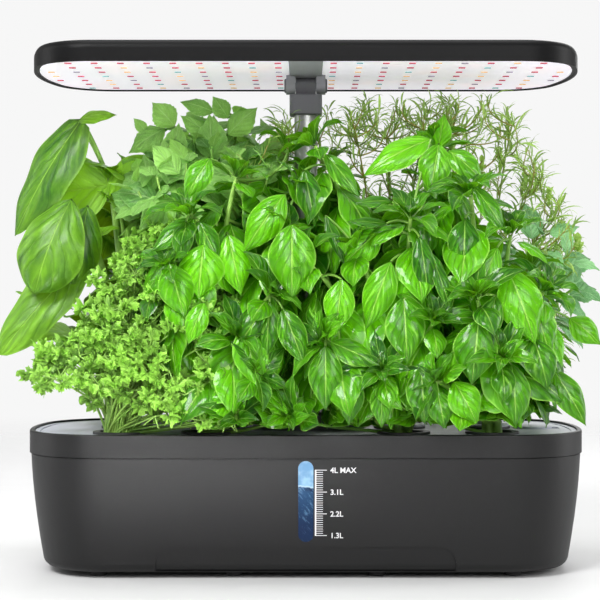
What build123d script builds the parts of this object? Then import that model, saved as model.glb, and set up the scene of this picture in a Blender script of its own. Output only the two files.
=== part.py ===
"""Countertop hydroponic garden: a water reservoir with a lift-off grow deck, a pump, twelve net baskets,
herbs, and a grow lamp on a telescopic pole with a tilting head.

Frame: millimetres, +Z up, origin on the resting surface at the centre of the footprint, front towards -Y.
Every sub-part is written to parts/NAME.step. All sizes are millimetres and angles are degrees.
"""
from build123d import *
import math
import os

os.makedirs("parts", exist_ok=True)

# ---------------------------------------------------------------- reservoir and lid frame
tank_length = 360.0          # over the frame, along X
tank_width = 154.0           # over the frame, along Y
plan_corner_radius = 51.0
plan_end_radius = 198.0      # the short ends bow outwards
rim_top_z = 90.3
seam_z = 75.5                # where the frame meets the reservoir
reservoir_bottom_z = 3.5
reservoir_wall = 2.4
reservoir_floor = 3.0
reservoir_bottom_fillet = 7.0
# How far the reservoir's wall stands inside the frame's outline, at heights from bottom to top.
reservoir_draft = [(3.5, 9.8), (20.0, 6.9), (45.0, 3.4), (75.5, 1.0)]
grip_half_width = 93.5       # finger grip pressed into the foot of the front and back walls
grip_top_z = 20.4
grip_corner_radius = 11.0
grip_depth = 1.3

frame_wall = 3.0
frame_ledge_thickness = 2.0  # carries the deck
frame_top_fillet = 0.9
seam_groove_height = 0.7     # shadow line under the frame's outer edge
seam_groove_depth = 1.8
frame_join = 0.2             # how far the ledge runs into the wall
frame_skirt_depth = 8.0      # plugs into the reservoir
frame_skirt_wall = 1.8
seat_clearance = 0.4         # between a part and the one it drops into

# ---------------------------------------------------------------- sight window
window_width = 9.4
window_height = 50.6
window_centre_z = 48.9
window_flange = 2.2
window_flange_thickness = 1.4

# ---------------------------------------------------------------- feet
foot_radius = 5.6
foot_x = (-131.0, -45.0, 45.0, 131.0)
foot_y = 50.0
foot_peg_radius = 2.5
foot_peg_length = 2.0

# ---------------------------------------------------------------- grow deck
deck_recess = 1.3            # deck top below the rim
deck_thickness = 2.4
deck_side_gap = 0.2          # between the deck's edge and the frame
deck_groove_depth = 0.6      # a line pressed round the deck's border
deck_groove_inset = 6.6
deck_groove_width = 1.6
deck_top_z = rim_top_z - deck_recess
pod_column_x = (-118.0, -62.0, 62.0, 118.0)
pod_row_y = (-46.0, 0.0, 46.0)
deck_rib_height = 10.0       # stiffening ribs under the deck
deck_rib_thickness = 1.8
pod_hole_gap = 0.4           # round each basket, in its hole

# ---------------------------------------------------------------- net baskets and sponges
basket_top_radius = 14.2
basket_bottom_radius = 10.6
basket_depth = 46.0
basket_wall = 1.3
basket_flange_radius = 17.0
basket_flange_thickness = 1.4
basket_slot_count = 8
basket_slot_width = 3.4
basket_slot_height = 26.0
basket_slot_low = 8.0        # above the basket's floor
basket_floor_slot = (2.6, 11.0)
basket_floor_slot_pitch = 5.2
sponge_clearance = 0.35
sponge_lift = 0.2
seed_hole_radius = 2.4
seed_hole_depth = 16.0
blank_cap_thickness = 1.2
blank_cap_wall = 1.2
blank_cap_gap = 0.15
blank_cap_grip = (9.0, 2.2, 3.4)

# ---------------------------------------------------------------- refill port
refill_x = 150.0
refill_radius = 10.5
refill_cap_radius = 13.0
refill_cap_thickness = 1.4
refill_plug_gap = 0.7        # between the cap's plug and its hole
refill_plug_wall = 1.3
refill_plug_depth = 1.6
refill_hinge_reach = 1.2     # from the cap's edge to the hinge's axis
refill_hinge_drop = 1.2      # hinge axis below the deck's top
refill_hinge_radius = 1.5
refill_arm_half = 5.0
refill_barrel_half = 5.6
refill_notch_half = 6.2
refill_notch = (2.2, 3.0)    # from the hinge's axis, inwards and outwards
refill_pin_half = 9.5
refill_pin_radius = 0.8

# ---------------------------------------------------------------- control housing, buttons, inlet
control_length = 76.0
control_height = 12.0
control_corner = 11.0
control_wall = 1.8
control_top_fillet = 3.0
control_collar_wall = 2.2
button_x = (-20.0, 0.0, 20.0)
button_radius = 4.2
button_proud = 1.4
button_clearance = 0.25
button_flange = 0.9
button_flange_width = 0.8
button_collar_gap = 0.25     # between a flange and the pole's collar
button_wall_gap = 0.15       # between a flange and the housing's wall
board_thickness = 1.6
board_lift = 1.0             # above the deck
board_gap = 0.6              # inside the housing's wall
board_post_at = ((-28.0, 14.0), (28.0, 14.0), (-28.0, -6.0), (28.0, -6.0))
board_post_radius = 2.0
switch_half = 3.0
switch_plunger = (1.7, 1.5)  # radius and height
switch_gap = 1.4             # under a button
inlet_z = 82.3
inlet_bore_radius = 2.9
inlet_depth = 9.0
inlet_body_length = 12.0
inlet_nose_radius = 4.2
inlet_pin_radius = 1.0

# ---------------------------------------------------------------- telescopic pole
pole_inner_radius = 7.5
pole_step = 1.0              # radius step from one tube to the next
pole_tube_wall = 0.8
pole_bottom_z = 62.0
pole_outer_top_z = 172.0
pole_middle_z = (148.0, 246.0)
pole_inner_bottom_z = 160.0
pole_bush_height = 6.0
pole_guide_gap = 0.05        # between a bush and the tube that slides in it
pole_bush_wall = 1.5
pole_bush_lip = 1.4
socket_wall = 3.0
socket_floor = 2.5
socket_clearance = 0.1

# ---------------------------------------------------------------- lamp
lamp_length = 355.0
lamp_width = 154.0
lamp_corner_radius = 38.8
lamp_end_radius = 182.0
lamp_bottom_z = 320.9
lamp_thickness = 13.8
lamp_top_fillet = 5.5
lamp_wall = 1.7
lamp_lip_width = 1.9         # dark step between the wall and the light board
lamp_lip_step = 0.5
board_recess = 0.8
led_board_thickness = 1.6
led_pitch_x = 16.4
led_pitch_y = 20.6
led_columns = 10             # each side of the middle
led_rows = 3                 # each side of the middle row
led_size = (4.2, 3.0, 0.6)
led_edge_margin = 6.0
board_seat_width = 1.8       # step that the light board rests against
heat_plate_inset = 6.0
heat_plate_thickness = 1.2
fin_count = 7
fin_pitch = 17.0
fin_height = 4.0
fin_thickness = 1.2
fin_end_gap = 27.5           # from a fin's end to the lamp's end
vent_count = 9               # in each of two rows
vent_row_x = 70.0
vent_pitch = 7.0
vent_length = 30.0
vent_width = 2.4

# ---------------------------------------------------------------- lamp joint
spine_width = 21.4
hinge_drop = 5.8             # tilt axis below the lamp's underside
knuckle_radius = 5.8
fixed_knuckle_half = 6.6
hinge_side_gap = 0.3
hinge_cap_end = 14.2
hinge_pin_radius = 2.0
hinge_pin_clearance = 0.05
sleeve_size = 21.4
sleeve_corner = 3.0
sleeve_bottom_z = 295.5
sleeve_roof = 3.0
sleeve_gap = 0.6             # between the turning knuckles and the sleeve's top

# ---------------------------------------------------------------- pump
pump_length = 36.0
pump_width = 30.0
pump_height = 30.0
pump_bottom_z = 10.0
pump_wall = 2.4
impeller_radius = 8.0
impeller_blades = 6
impeller_length = 7.0
impeller_hub_radius = 2.8
impeller_plate = 1.0         # thickness of its blades and back plate
pump_corner = 4.0
pump_chamber_rise = 12.0     # chamber's axis above the pump's foot
pump_shaft_radius = 1.0
pump_bore_clearance = 0.8
intake_slots = 9
intake_pitch = 3.4
intake_width = 1.6
intake_reach = (7.0, 12.0)   # below and above the chamber's axis
riser_x = -150.0
riser_socket_wall = 2.2
outlet_radius = 4.0
outlet_wall = 1.2


# ================================================================ shared shapes
def plan_face(half_length, half_width, corner, end, inset=0.0, z=0.0):
    """A rounded rectangle with bowed short ends, moved inwards all round by inset."""
    a, b = half_length - inset, half_width - inset
    rc, re = corner - inset, end - inset
    end_centre = a - re
    reach = math.sqrt((re - rc) ** 2 - (b - rc) ** 2)
    corner_x = end_centre + reach
    turn = math.atan2(b - rc, reach)
    tangent = (end_centre + re * math.cos(turn), re * math.sin(turn))
    half_turn = (turn + math.pi / 2) / 2
    middle = (corner_x + rc * math.cos(half_turn), b - rc + rc * math.sin(half_turn))
    edges = [Line((-corner_x, b), (corner_x, b))]
    edges.append(ThreePointArc((corner_x, b), middle, tangent))
    edges.append(ThreePointArc(tangent, (a, 0), (tangent[0], -tangent[1])))
    edges.append(ThreePointArc((tangent[0], -tangent[1]), (middle[0], -middle[1]), (corner_x, -b)))
    edges.append(Line((corner_x, -b), (-corner_x, -b)))
    edges.append(ThreePointArc((-corner_x, -b), (-middle[0], -middle[1]), (-tangent[0], -tangent[1])))
    edges.append(ThreePointArc((-tangent[0], -tangent[1]), (-a, 0), (-tangent[0], tangent[1])))
    edges.append(ThreePointArc((-tangent[0], tangent[1]), (-middle[0], middle[1]), (-corner_x, b)))
    return Pos(0, 0, z) * make_face(edges)


def tank_face(inset, z=0.0):
    """The tank's plan outline, moved inwards by inset."""
    return plan_face(tank_length / 2, tank_width / 2, plan_corner_radius, plan_end_radius, inset, z)


def lamp_face(inset, z=0.0):
    """The lamp's plan outline, moved inwards by inset."""
    return plan_face(lamp_length / 2, lamp_width / 2, lamp_corner_radius, lamp_end_radius, inset, z)


def slab(face, height):
    """A straight prism upwards from a face."""
    return extrude(face, amount=height, dir=(0, 0, 1))


def post(radius, z_low, z_high, x=0.0, y=0.0):
    """An upright cylinder between two heights."""
    return Pos(x, y, (z_low + z_high) / 2) * Cylinder(radius, z_high - z_low)


def rod_x(radius, x_low, x_high, y=0.0, z=0.0):
    """A cylinder along X."""
    return Pos((x_low + x_high) / 2, y, z) * Rot(0, 90, 0) * Cylinder(radius, x_high - x_low)


def rod_y(radius, y_low, y_high, x=0.0, z=0.0):
    """A cylinder along Y."""
    return Pos(x, (y_low + y_high) / 2, z) * Rot(90, 0, 0) * Cylinder(radius, y_high - y_low)


def block(x, y, z):
    """A box from three (low, high) pairs."""
    size = [high - low for low, high in (x, y, z)]
    middle = [(high + low) / 2 for low, high in (x, y, z)]
    return Pos(*middle) * Box(*size)


def draft_at(z):
    """The wall's inset at a height, read off reservoir_draft."""
    for (z0, i0), (z1, i1) in zip(reservoir_draft, reservoir_draft[1:]):
        if z <= z1:
            return i0 + (i1 - i0) * (z - z0) / (z1 - z0)
    return reservoir_draft[-1][1]


def save(name, *solids):
    """Writes one node."""
    shape = solids[0] if len(solids) == 1 else Compound(children=list(solids))
    export_step(shape, f"parts/{name}.step")


# ================================================================ reservoir
def make_reservoir():
    """A drafted tub with a bowed wall, a sight window slot and finger grips at its foot."""
    outer = loft([tank_face(inset, z) for z, inset in reservoir_draft])
    foot_edges = outer.edges().group_by(Axis.Z)[0]
    outer = fillet(foot_edges, reservoir_bottom_fillet)
    floor_z = reservoir_bottom_z + reservoir_floor
    inner_levels = [(floor_z, draft_at(floor_z))] + reservoir_draft[1:]
    inner = loft([tank_face(inset + reservoir_wall, z) for z, inset in inner_levels])
    floor_edges = inner.edges().group_by(Axis.Z)[0]
    inner = fillet(floor_edges, reservoir_bottom_fillet - reservoir_wall)
    tub = outer - inner
    for side in (-1, 1):
        tub -= grip_cutter(side)
    tub -= window_slot(0.0) & front_half()
    for x in foot_x:
        for y in (-foot_y, foot_y):
            tub -= post(foot_peg_radius, reservoir_bottom_z, reservoir_bottom_z + foot_peg_length, x, y)
    return tub


def grip_cutter(side):
    """A thin skin of the tub's front or back wall, as wide and high as the finger grip."""
    core = loft([tank_face(inset + grip_depth, z) for z, inset in reservoir_draft])
    core = fillet(core.edges().group_by(Axis.Z)[0], reservoir_bottom_fillet)
    width = 2 * grip_half_width
    height = 2 * (grip_top_z - reservoir_bottom_z)
    profile = Pos(0, grip_top_z - height / 2) * RectangleRounded(width, height, grip_corner_radius)
    reach = tank_width
    curtain = extrude(Plane.XZ * profile, amount=reach, both=True)
    near_wall = block((-width, width), (reach / 4, reach), (reservoir_bottom_z + 1, grip_top_z + 1))
    if side < 0:
        near_wall = mirror(near_wall, about=Plane.XZ)
    return (curtain & near_wall) - core


def window_slot(grow):
    """A slot with round ends along Y at the window's place, grown all round by grow."""
    profile = SlotOverall(window_height + 2 * grow, window_width + 2 * grow, rotation=90)
    at = Plane((0, 0, window_centre_z), x_dir=(1, 0, 0), z_dir=(0, -1, 0))
    return extrude(at * profile, amount=tank_width)


def front_half():
    """Everything in front of the middle, below the rim."""
    return block((-tank_length, tank_length), (-tank_width, 0), (0, rim_top_z))


def make_window():
    """A clear pane flush in the front wall, with a flange behind it."""
    floor_z = reservoir_bottom_z + reservoir_floor
    levels = [(floor_z, draft_at(floor_z))] + reservoir_draft[1:]
    outer = loft([tank_face(inset, z) for z, inset in reservoir_draft])
    inner = loft([tank_face(inset + reservoir_wall, z) for z, inset in levels])
    core = loft([tank_face(inset + reservoir_wall + window_flange_thickness, z) for z, inset in levels])
    below_seam = block((-tank_length, tank_length), (-tank_width, 0), (0, seam_z))
    pane = (outer - inner) & window_slot(0.0) & below_seam
    flange = (inner - core) & window_slot(window_flange) & below_seam
    return pane + flange


def make_feet():
    """Round feet pegged into the reservoir's floor, in two rows."""
    feet = []
    for x in foot_x:
        for y in (-foot_y, foot_y):
            pad = post(foot_radius, 0, reservoir_bottom_z, x, y)
            pad = chamfer(pad.edges().group_by(Axis.Z)[0], 0.6)
            feet.append(pad + post(foot_peg_radius, 0.5, reservoir_bottom_z + foot_peg_length, x, y))
    return feet


# ================================================================ deck frame and grow deck
deck_inset = frame_wall + deck_side_gap
deck_bottom_z = deck_top_z - deck_thickness
skirt_inset = draft_at(seam_z - frame_skirt_depth) + reservoir_wall + seat_clearance
frame_inner_inset = skirt_inset + frame_skirt_wall


def make_frame():
    """The band round the top: a wall on the reservoir, a plug skirt inside it and a ledge over both."""
    ledge_z = deck_bottom_z - frame_ledge_thickness
    solid = slab(tank_face(0, seam_z), rim_top_z - seam_z)
    solid = fillet(solid.edges().group_by(Axis.Z)[-1], frame_top_fillet)
    wall = solid - slab(tank_face(frame_wall, seam_z), rim_top_z)
    wall -= slab(tank_face(-1, seam_z) - tank_face(seam_groove_depth, seam_z), seam_groove_height)
    ledge = slab(tank_face(frame_wall - frame_join, ledge_z), frame_ledge_thickness)
    ledge -= slab(tank_face(frame_inner_inset, ledge_z - 1), rim_top_z)
    skirt_z = seam_z - frame_skirt_depth
    skirt = slab(tank_face(skirt_inset, skirt_z), deck_bottom_z - skirt_z)
    skirt -= slab(tank_face(frame_inner_inset, 0), rim_top_z)
    frame = wall + ledge + skirt
    half = window_width / 2 + window_flange + seat_clearance
    notch = block((-half, half), (-tank_width, -tank_width / 4), (0, seam_z))
    frame -= notch & slab(tank_face(frame_wall), rim_top_z)
    frame -= rod_y(inlet_nose_radius + 0.05, tank_width / 2 - inlet_body_length - 2, tank_width, 0, inlet_z)
    return frame


socket_radius = pole_inner_radius + 2 * pole_step + socket_clearance
pod_hole_radius = basket_top_radius + pod_hole_gap


def make_deck():
    """The lift-off plate with its pod holes, refill hole, pole socket, riser socket and ribs."""
    plate = slab(tank_face(deck_inset, deck_bottom_z), deck_thickness)
    groove_z = deck_top_z - deck_groove_depth
    groove = tank_face(deck_groove_inset, groove_z)
    groove -= tank_face(deck_groove_inset + deck_groove_width, groove_z)
    plate -= slab(groove, deck_thickness)
    rib_low = deck_bottom_z - deck_rib_height
    half = deck_rib_thickness / 2
    rib_y = (pod_row_y[2] - pod_row_y[1]) / 2
    rib_x = (pod_column_x[2] + pod_column_x[3]) / 2
    for side in (-1, 1):
        y = side * rib_y
        plate += block((-rib_x - half, rib_x + half), (y - half, y + half), (rib_low, deck_bottom_z + 0.5))
        x = side * rib_x
        plate += block((x - half, x + half), (-rib_y, rib_y), (rib_low, deck_bottom_z + 0.5))
    plate += block((-half, half), (-rib_y, rib_y), (rib_low, deck_bottom_z + 0.5))
    plate += post(socket_radius + socket_wall, pole_bottom_z - socket_floor, deck_top_z - 0.5)
    riser_socket_radius = outlet_radius + outlet_wall + riser_socket_wall
    plate += post(riser_socket_radius, rib_low + 2, deck_bottom_z + 0.5, riser_x, 0)
    plate += post(refill_radius + deck_rib_thickness, rib_low, deck_bottom_z + 0.5, refill_x, 0)
    plate -= post(socket_radius, pole_bottom_z, rim_top_z)
    plate -= post(outlet_radius + outlet_wall + 0.05, 0, deck_bottom_z, riser_x, 0)
    for x in pod_column_x:
        for y in pod_row_y:
            plate -= post(pod_hole_radius, 0, rim_top_z, x, y)
    plate -= post(refill_radius, 0, rim_top_z, refill_x, 0)
    inwards, outwards = refill_notch
    notch_side = (-refill_notch_half, refill_notch_half)
    plate -= block((hinge_x - inwards, hinge_x + outwards), notch_side, (0, rim_top_z))
    plate -= rod_y(refill_pin_radius, -refill_pin_half, refill_pin_half, hinge_x, hinge_z)
    return plate


# ---------------------------------------------------------------- refill cap
hinge_x = refill_x + refill_cap_radius + refill_hinge_reach
hinge_z = deck_top_z - refill_hinge_drop


def make_refill_cap():
    """A low round cap with a plug under it and a hinge barrel beside it."""
    cap = post(refill_cap_radius, deck_top_z, deck_top_z + refill_cap_thickness, refill_x, 0)
    cap = chamfer(cap.edges().group_by(Axis.Z)[-1], 0.5)
    plug_radius = refill_radius - refill_plug_gap
    plug = post(plug_radius, deck_top_z - refill_plug_depth, deck_top_z + 0.2, refill_x, 0)
    plug -= post(plug_radius - refill_plug_wall, 0, deck_top_z, refill_x, 0)
    side = (-refill_arm_half, refill_arm_half)
    arm_top = deck_top_z + refill_cap_thickness - 0.4
    arm = block((refill_x + refill_cap_radius / 2, hinge_x), side, (deck_top_z + 0.1, arm_top))
    barrel = rod_y(refill_hinge_radius, -refill_barrel_half, refill_barrel_half, hinge_x, hinge_z)
    web = block((hinge_x - 1.0, hinge_x + 0.6), side, (hinge_z, arm_top))
    cap = cap + plug + arm + web + barrel
    return cap - rod_y(refill_pin_radius + 0.05, -refill_pin_half, refill_pin_half, hinge_x, hinge_z)


def make_refill_pin():
    """The wire the refill cap turns on."""
    return rod_y(refill_pin_radius, -refill_pin_half, refill_pin_half, hinge_x, hinge_z)


# ================================================================ baskets, sponges, blank caps, herbs
basket_top_z = deck_top_z + basket_flange_thickness
basket_floor_z = deck_top_z - basket_depth


def cone_at(radius_low, radius_high, z_low, z_high, x, y):
    """An upright tapered plug."""
    return Pos(x, y, (z_low + z_high) / 2) * Cone(radius_low, radius_high, z_high - z_low)


def basket_radius_at(z):
    """The outer radius of a basket's tapered side at a height."""
    share = (z - basket_floor_z) / (deck_top_z - basket_floor_z)
    return basket_bottom_radius + (basket_top_radius - basket_bottom_radius) * share


def make_basket(x, y):
    """A tapered net cup with a flange, upright slots round the side and a slotted floor."""
    cup = cone_at(basket_bottom_radius, basket_top_radius, basket_floor_z, deck_top_z, x, y)
    cup += post(basket_flange_radius, deck_top_z, basket_top_z, x, y)
    inner_low = basket_bottom_radius - basket_wall
    inner_high = basket_top_radius - basket_wall
    cup -= cone_at(inner_low, inner_high, basket_floor_z + basket_wall, deck_top_z, x, y)
    cup -= post(inner_high, deck_top_z - 0.2, basket_top_z + 1, x, y)
    slot_low = basket_floor_z + basket_slot_low
    for k in range(basket_slot_count // 2):
        slot = Box(3 * basket_top_radius, basket_slot_width, basket_slot_height)
        slot = Rot(0, 0, 360 / basket_slot_count * k) * slot
        cup -= Pos(x, y, slot_low + basket_slot_height / 2) * slot
    for k in (-1, 0, 1):
        slot_x = x + basket_floor_slot_pitch * k
        cup -= Pos(slot_x, y, basket_floor_z) * Box(*basket_floor_slot, 4 * basket_wall)
    return cup


def make_sponge(x, y):
    """A tapered grow sponge with a seed hole, seated in the basket."""
    z_low = basket_floor_z + basket_wall + sponge_lift
    gap = basket_wall + sponge_clearance
    plug = cone_at(basket_radius_at(z_low) - gap, basket_top_radius - gap, z_low, deck_top_z, x, y)
    return plug - post(seed_hole_radius, deck_top_z - seed_hole_depth, deck_top_z + 1, x, y)


def make_blank_cap(x, y):
    """A press-in cap that keeps light out of an empty basket."""
    cap = post(basket_flange_radius - 1.0, basket_top_z, basket_top_z + blank_cap_thickness, x, y)
    cap = chamfer(cap.edges().group_by(Axis.Z)[-1], 0.5)
    rim = basket_top_radius - basket_wall - blank_cap_gap
    cap += post(rim, deck_top_z + 0.2, basket_top_z + 0.2, x, y)
    cap -= post(rim - blank_cap_wall, deck_top_z, basket_top_z, x, y)
    grip_z = basket_top_z + blank_cap_thickness / 2 + blank_cap_grip[2] / 2
    return cap + Pos(x, y, grip_z) * Box(*blank_cap_grip)


# Each herb is a plain stand-in: a stem out of the sponge and flat whorls of leaves under the lamp.
herb_half_length = 198.0     # to the outermost leaf tip, along X
herb_half_width = 92.0       # to the outermost leaf tip, along Y
herb_aisle = 19.0            # half the free aisle over the middle row of pods
herb_gap = 2.0               # between neighbours
herb_bottom_z = 112.0
herb_top_z = 286.0
herb_whorls = 8
herb_leaves = 6
leaf_thickness = 1.8
leaf_width_share = 0.52
stem_radius = 2.3


def leaf_face(length, width, angle):
    """A pointed leaf from the origin, turned by angle."""
    upper = ThreePointArc((0, 0), (length / 2, width / 2), (length, 0))
    lower = ThreePointArc((length, 0), (length / 2, -width / 2), (0, 0))
    return Rot(0, 0, angle) * make_face([upper, lower])


def reach(low, high, direction):
    """How far a leaf goes along one axis before it meets its plot's edge."""
    return (high if direction > 0 else -low) / max(abs(direction), 0.01)


def make_herb(column, side):
    """One herb: the left-hand columns are mirror images of the right-hand ones, and the back of the front."""
    outer_plant = column in (0, len(pod_column_x) - 1)
    stem_x, stem_y = pod_column_x[3 if outer_plant else 2], pod_row_y[2]
    middle = (pod_column_x[2] + pod_column_x[3]) / 2
    low_x, high_x = herb_gap, middle - herb_gap / 2
    if outer_plant:
        low_x, high_x = middle + herb_gap / 2, herb_half_length
    plant = post(stem_radius, deck_top_z - 15, herb_top_z + 10, stem_x, stem_y)
    for whorl in range(herb_whorls):
        z = herb_bottom_z + (herb_top_z - herb_bottom_z) * whorl / (herb_whorls - 1)
        leaves = Circle(stem_radius + 1.5)
        for k in range(herb_leaves):
            angle = 360 / herb_leaves * (k + whorl % 2 / 2)
            way = (math.cos(math.radians(angle)), math.sin(math.radians(angle)))
            length = min(
                reach(low_x - stem_x, high_x - stem_x, way[0]),
                reach(herb_aisle - stem_y, herb_half_width - stem_y, way[1]),
            )
            leaves += leaf_face(length, length * leaf_width_share, angle)
        layer = slab(Pos(stem_x, stem_y, z) * leaves, leaf_thickness)
        plant += layer & block((low_x, high_x), (herb_aisle, herb_half_width), (0, herb_top_z + 10))
    if pod_column_x[column] < 0:
        plant = mirror(plant, about=Plane.YZ)
    if side < 0:
        plant = mirror(plant, about=Plane.XZ)
    return plant


# ================================================================ control housing
control_top_z = deck_top_z + control_height
button_reach = button_radius + button_flange_width
button_y = -(socket_radius + control_collar_wall + button_collar_gap + button_reach)
control_width = 2 * (button_reach - button_y + button_wall_gap + control_wall)
board_z = deck_top_z + board_lift


def make_control_housing():
    """A low hollow housing round the foot of the pole, with button holes in its top."""
    outline = RectangleRounded(control_length, control_width, control_corner)
    shell = slab(Pos(0, 0, deck_top_z) * outline, control_height)
    shell = fillet(shell.edges().group_by(Axis.Z)[-1], control_top_fillet)
    inner = RectangleRounded(
        control_length - 2 * control_wall, control_width - 2 * control_wall, control_corner - control_wall
    )
    shell -= slab(Pos(0, 0, deck_top_z) * inner, control_height - control_wall)
    collar = post(socket_radius + control_collar_wall, deck_top_z, control_top_z - 1)
    shell = shell + collar - post(socket_radius, 0, lamp_bottom_z)
    for x in button_x:
        shell -= post(button_radius, deck_top_z, lamp_bottom_z, x, button_y)
    return shell


def make_button(x):
    """A round push button with a retaining flange under the housing's top."""
    inner_z = control_top_z - control_wall
    cap_z = (inner_z - button_flange, control_top_z + button_proud)
    cap = post(button_radius - button_clearance, *cap_z, x, button_y)
    cap = chamfer(cap.edges().group_by(Axis.Z)[-1], 0.5)
    flange_z = inner_z - 0.05
    flange = post(button_reach, flange_z - button_flange, flange_z, x, button_y)
    return cap + flange


def make_control_board():
    """The circuit board in the housing, with a switch under each button and two larger parts."""
    edge = 2 * (control_wall + board_gap)
    outline = RectangleRounded(control_length - edge, control_width - edge, control_corner - control_wall)
    board = slab(Pos(0, 0, board_z) * outline, board_thickness)
    board -= post(socket_radius + control_collar_wall + board_gap, 0, lamp_bottom_z)
    top = board_z + board_thickness
    switch_top = control_top_z - control_wall - button_flange - switch_gap
    half = switch_half
    plunger_radius, plunger_height = switch_plunger
    for x in button_x:
        switch_z = (top - 0.2, switch_top - plunger_height)
        board += block((x - half, x + half), (button_y - half, button_y + half), switch_z)
        board += post(plunger_radius, top, switch_top, x, button_y)
    board += block((-30, -20), (4, 14), (top - 0.2, top + 4))
    board += post(3.2, top - 0.2, top + 5.5, 26, 8)
    for x, y in board_post_at:
        board += post(board_post_radius, deck_top_z, board_z + 0.2, x, y)
    return board


def make_inlet():
    """The round power socket in the back of the frame, with its centre pin."""
    back = tank_width / 2
    body = rod_y(inlet_nose_radius, back - inlet_body_length, back - 0.1, 0, inlet_z)
    body -= rod_y(inlet_bore_radius, back - inlet_depth, back + 1, 0, inlet_z)
    return body + rod_y(inlet_pin_radius, back - inlet_body_length, back - 1.6, 0, inlet_z)


# ================================================================ pole
def tube(outer_radius, z_low, z_high):
    """A thin upright tube on the pole's axis."""
    return post(outer_radius, z_low, z_high) - post(outer_radius - pole_tube_wall, z_low - 1, z_high + 1)


def bush(outer_radius, top_z):
    """A moulded bush on a tube's top, which guides the next tube."""
    guide = outer_radius - pole_step + pole_guide_gap
    ring = post(outer_radius + pole_bush_wall, top_z - pole_bush_height, top_z + pole_bush_lip)
    ring = chamfer(ring.edges().group_by(Axis.Z)[-1], 0.8)
    ring -= post(guide, 0, lamp_bottom_z)
    return ring - post(outer_radius, 0, top_z)


outer_tube_radius = pole_inner_radius + 2 * pole_step
middle_tube_radius = pole_inner_radius + pole_step

# ================================================================ lamp joint
axis_z = lamp_bottom_z - hinge_drop
sleeve_top_z = axis_z - knuckle_radius - sleeve_gap


def make_sleeve():
    """The square block on the pole's top, with the middle hinge knuckle."""
    block_shape = slab(
        Pos(0, 0, sleeve_bottom_z) * RectangleRounded(sleeve_size, sleeve_size, sleeve_corner),
        sleeve_top_z - sleeve_bottom_z,
    )
    rims = block_shape.edges().group_by(Axis.Z)
    block_shape = chamfer(rims[0] + rims[-1], 0.5)
    half = fixed_knuckle_half
    radius = knuckle_radius - 0.4
    neck = block((-half, half), (-radius, radius), (sleeve_top_z - 1, axis_z))
    shape = block_shape + neck + rod_x(radius, -half, half, 0, axis_z)
    shape -= post(pole_inner_radius, 0, sleeve_top_z - sleeve_roof)
    return shape - rod_x(hinge_pin_radius, -50, 50, 0, axis_z)


def make_hinge_pin():
    """The tilt pin with a domed head at each end."""
    head_start = hinge_cap_end - 1.2
    pin = rod_x(hinge_pin_radius, -head_start, head_start, 0, axis_z)
    for side in (-1, 1):
        low, high = sorted((side * (head_start + 0.05), side * hinge_cap_end))
        head = rod_x(knuckle_radius - 1.0, low, high, 0, axis_z)
        face = head.faces().sort_by(Axis.X)[-1 if side > 0 else 0]
        head = chamfer(face.edges(), 0.7)
        inside, end = sorted((side * head_start / 2, side * (hinge_cap_end - 0.3)))
        pin += head + rod_x(hinge_pin_radius, inside, end, 0, axis_z)
    return pin


def make_spine():
    """The strip under the lamp with the two outer knuckles that tilt on the pin."""
    half_reach = lamp_width / 2 - lamp_wall - 0.3
    half = spine_width / 2
    top_z = lamp_bottom_z + board_recess
    strip = block((-half, half), (-half_reach, half_reach), (lamp_bottom_z, top_z))
    inner = fixed_knuckle_half + hinge_side_gap
    outer = hinge_cap_end - 1.25
    strip += block((-outer, outer), (-knuckle_radius, knuckle_radius), (lamp_bottom_z, top_z))
    for side in (-1, 1):
        low, high = sorted((side * inner, side * outer))
        strip += block((low, high), (-knuckle_radius, knuckle_radius), (axis_z, lamp_bottom_z + 0.3))
        strip += rod_x(knuckle_radius, low, high, 0, axis_z)
    return strip - rod_x(hinge_pin_radius + hinge_pin_clearance, -50, 50, 0, axis_z)


# ================================================================ lamp
light_board_z = lamp_bottom_z + board_recess
light_board_inset = lamp_wall + lamp_lip_width + 0.05
lamp_top_z = lamp_bottom_z + lamp_thickness


def vent_slots():
    """Two rows of slots through the lamp's top."""
    slots = []
    for side in (-1, 1):
        for k in range(vent_count):
            x = side * vent_row_x + (k - (vent_count - 1) / 2) * vent_pitch
            slot = SlotOverall(vent_length, vent_width, rotation=90)
            slots.append(slab(Pos(x, 0, lamp_top_z - 4) * slot, 10))
    return slots


def make_lamp_housing():
    """The shallow lamp shell, with the light board's seat inside its edge."""
    shell = slab(lamp_face(0, lamp_bottom_z), lamp_thickness)
    shell = fillet(shell.edges().group_by(Axis.Z)[-1], lamp_top_fillet)
    shell -= slab(lamp_face(lamp_wall, lamp_bottom_z), lamp_lip_step)
    shell -= slab(lamp_face(lamp_wall + lamp_lip_width, lamp_bottom_z), board_recess + led_board_thickness)
    hollow_inset = lamp_wall + lamp_lip_width + board_seat_width
    shell -= slab(lamp_face(hollow_inset, light_board_z), lamp_top_z - lamp_wall - light_board_z)
    for slot in vent_slots():
        shell -= slot
    half = spine_width / 2 + 0.1
    half_reach = lamp_width / 2 - lamp_wall
    shell -= block((-half, half), (-half_reach, half_reach), (0, light_board_z))
    return shell


def make_light_board():
    """The white board that carries the light chips."""
    return slab(lamp_face(light_board_inset, light_board_z), led_board_thickness)


def make_heat_plate():
    """The metal plate that spreads the light board's heat, with pressed fins."""
    z = light_board_z + led_board_thickness
    plate = slab(lamp_face(light_board_inset + heat_plate_inset, z), heat_plate_thickness)
    half = lamp_length / 2 - fin_end_gap
    for k in range(fin_count):
        y = (k - (fin_count - 1) / 2) * fin_pitch
        side = (y - fin_thickness / 2, y + fin_thickness / 2)
        fin_z = (z + 0.5, z + heat_plate_thickness + fin_height)
        plate += block((-half, half), side, fin_z)
    return plate


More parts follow.
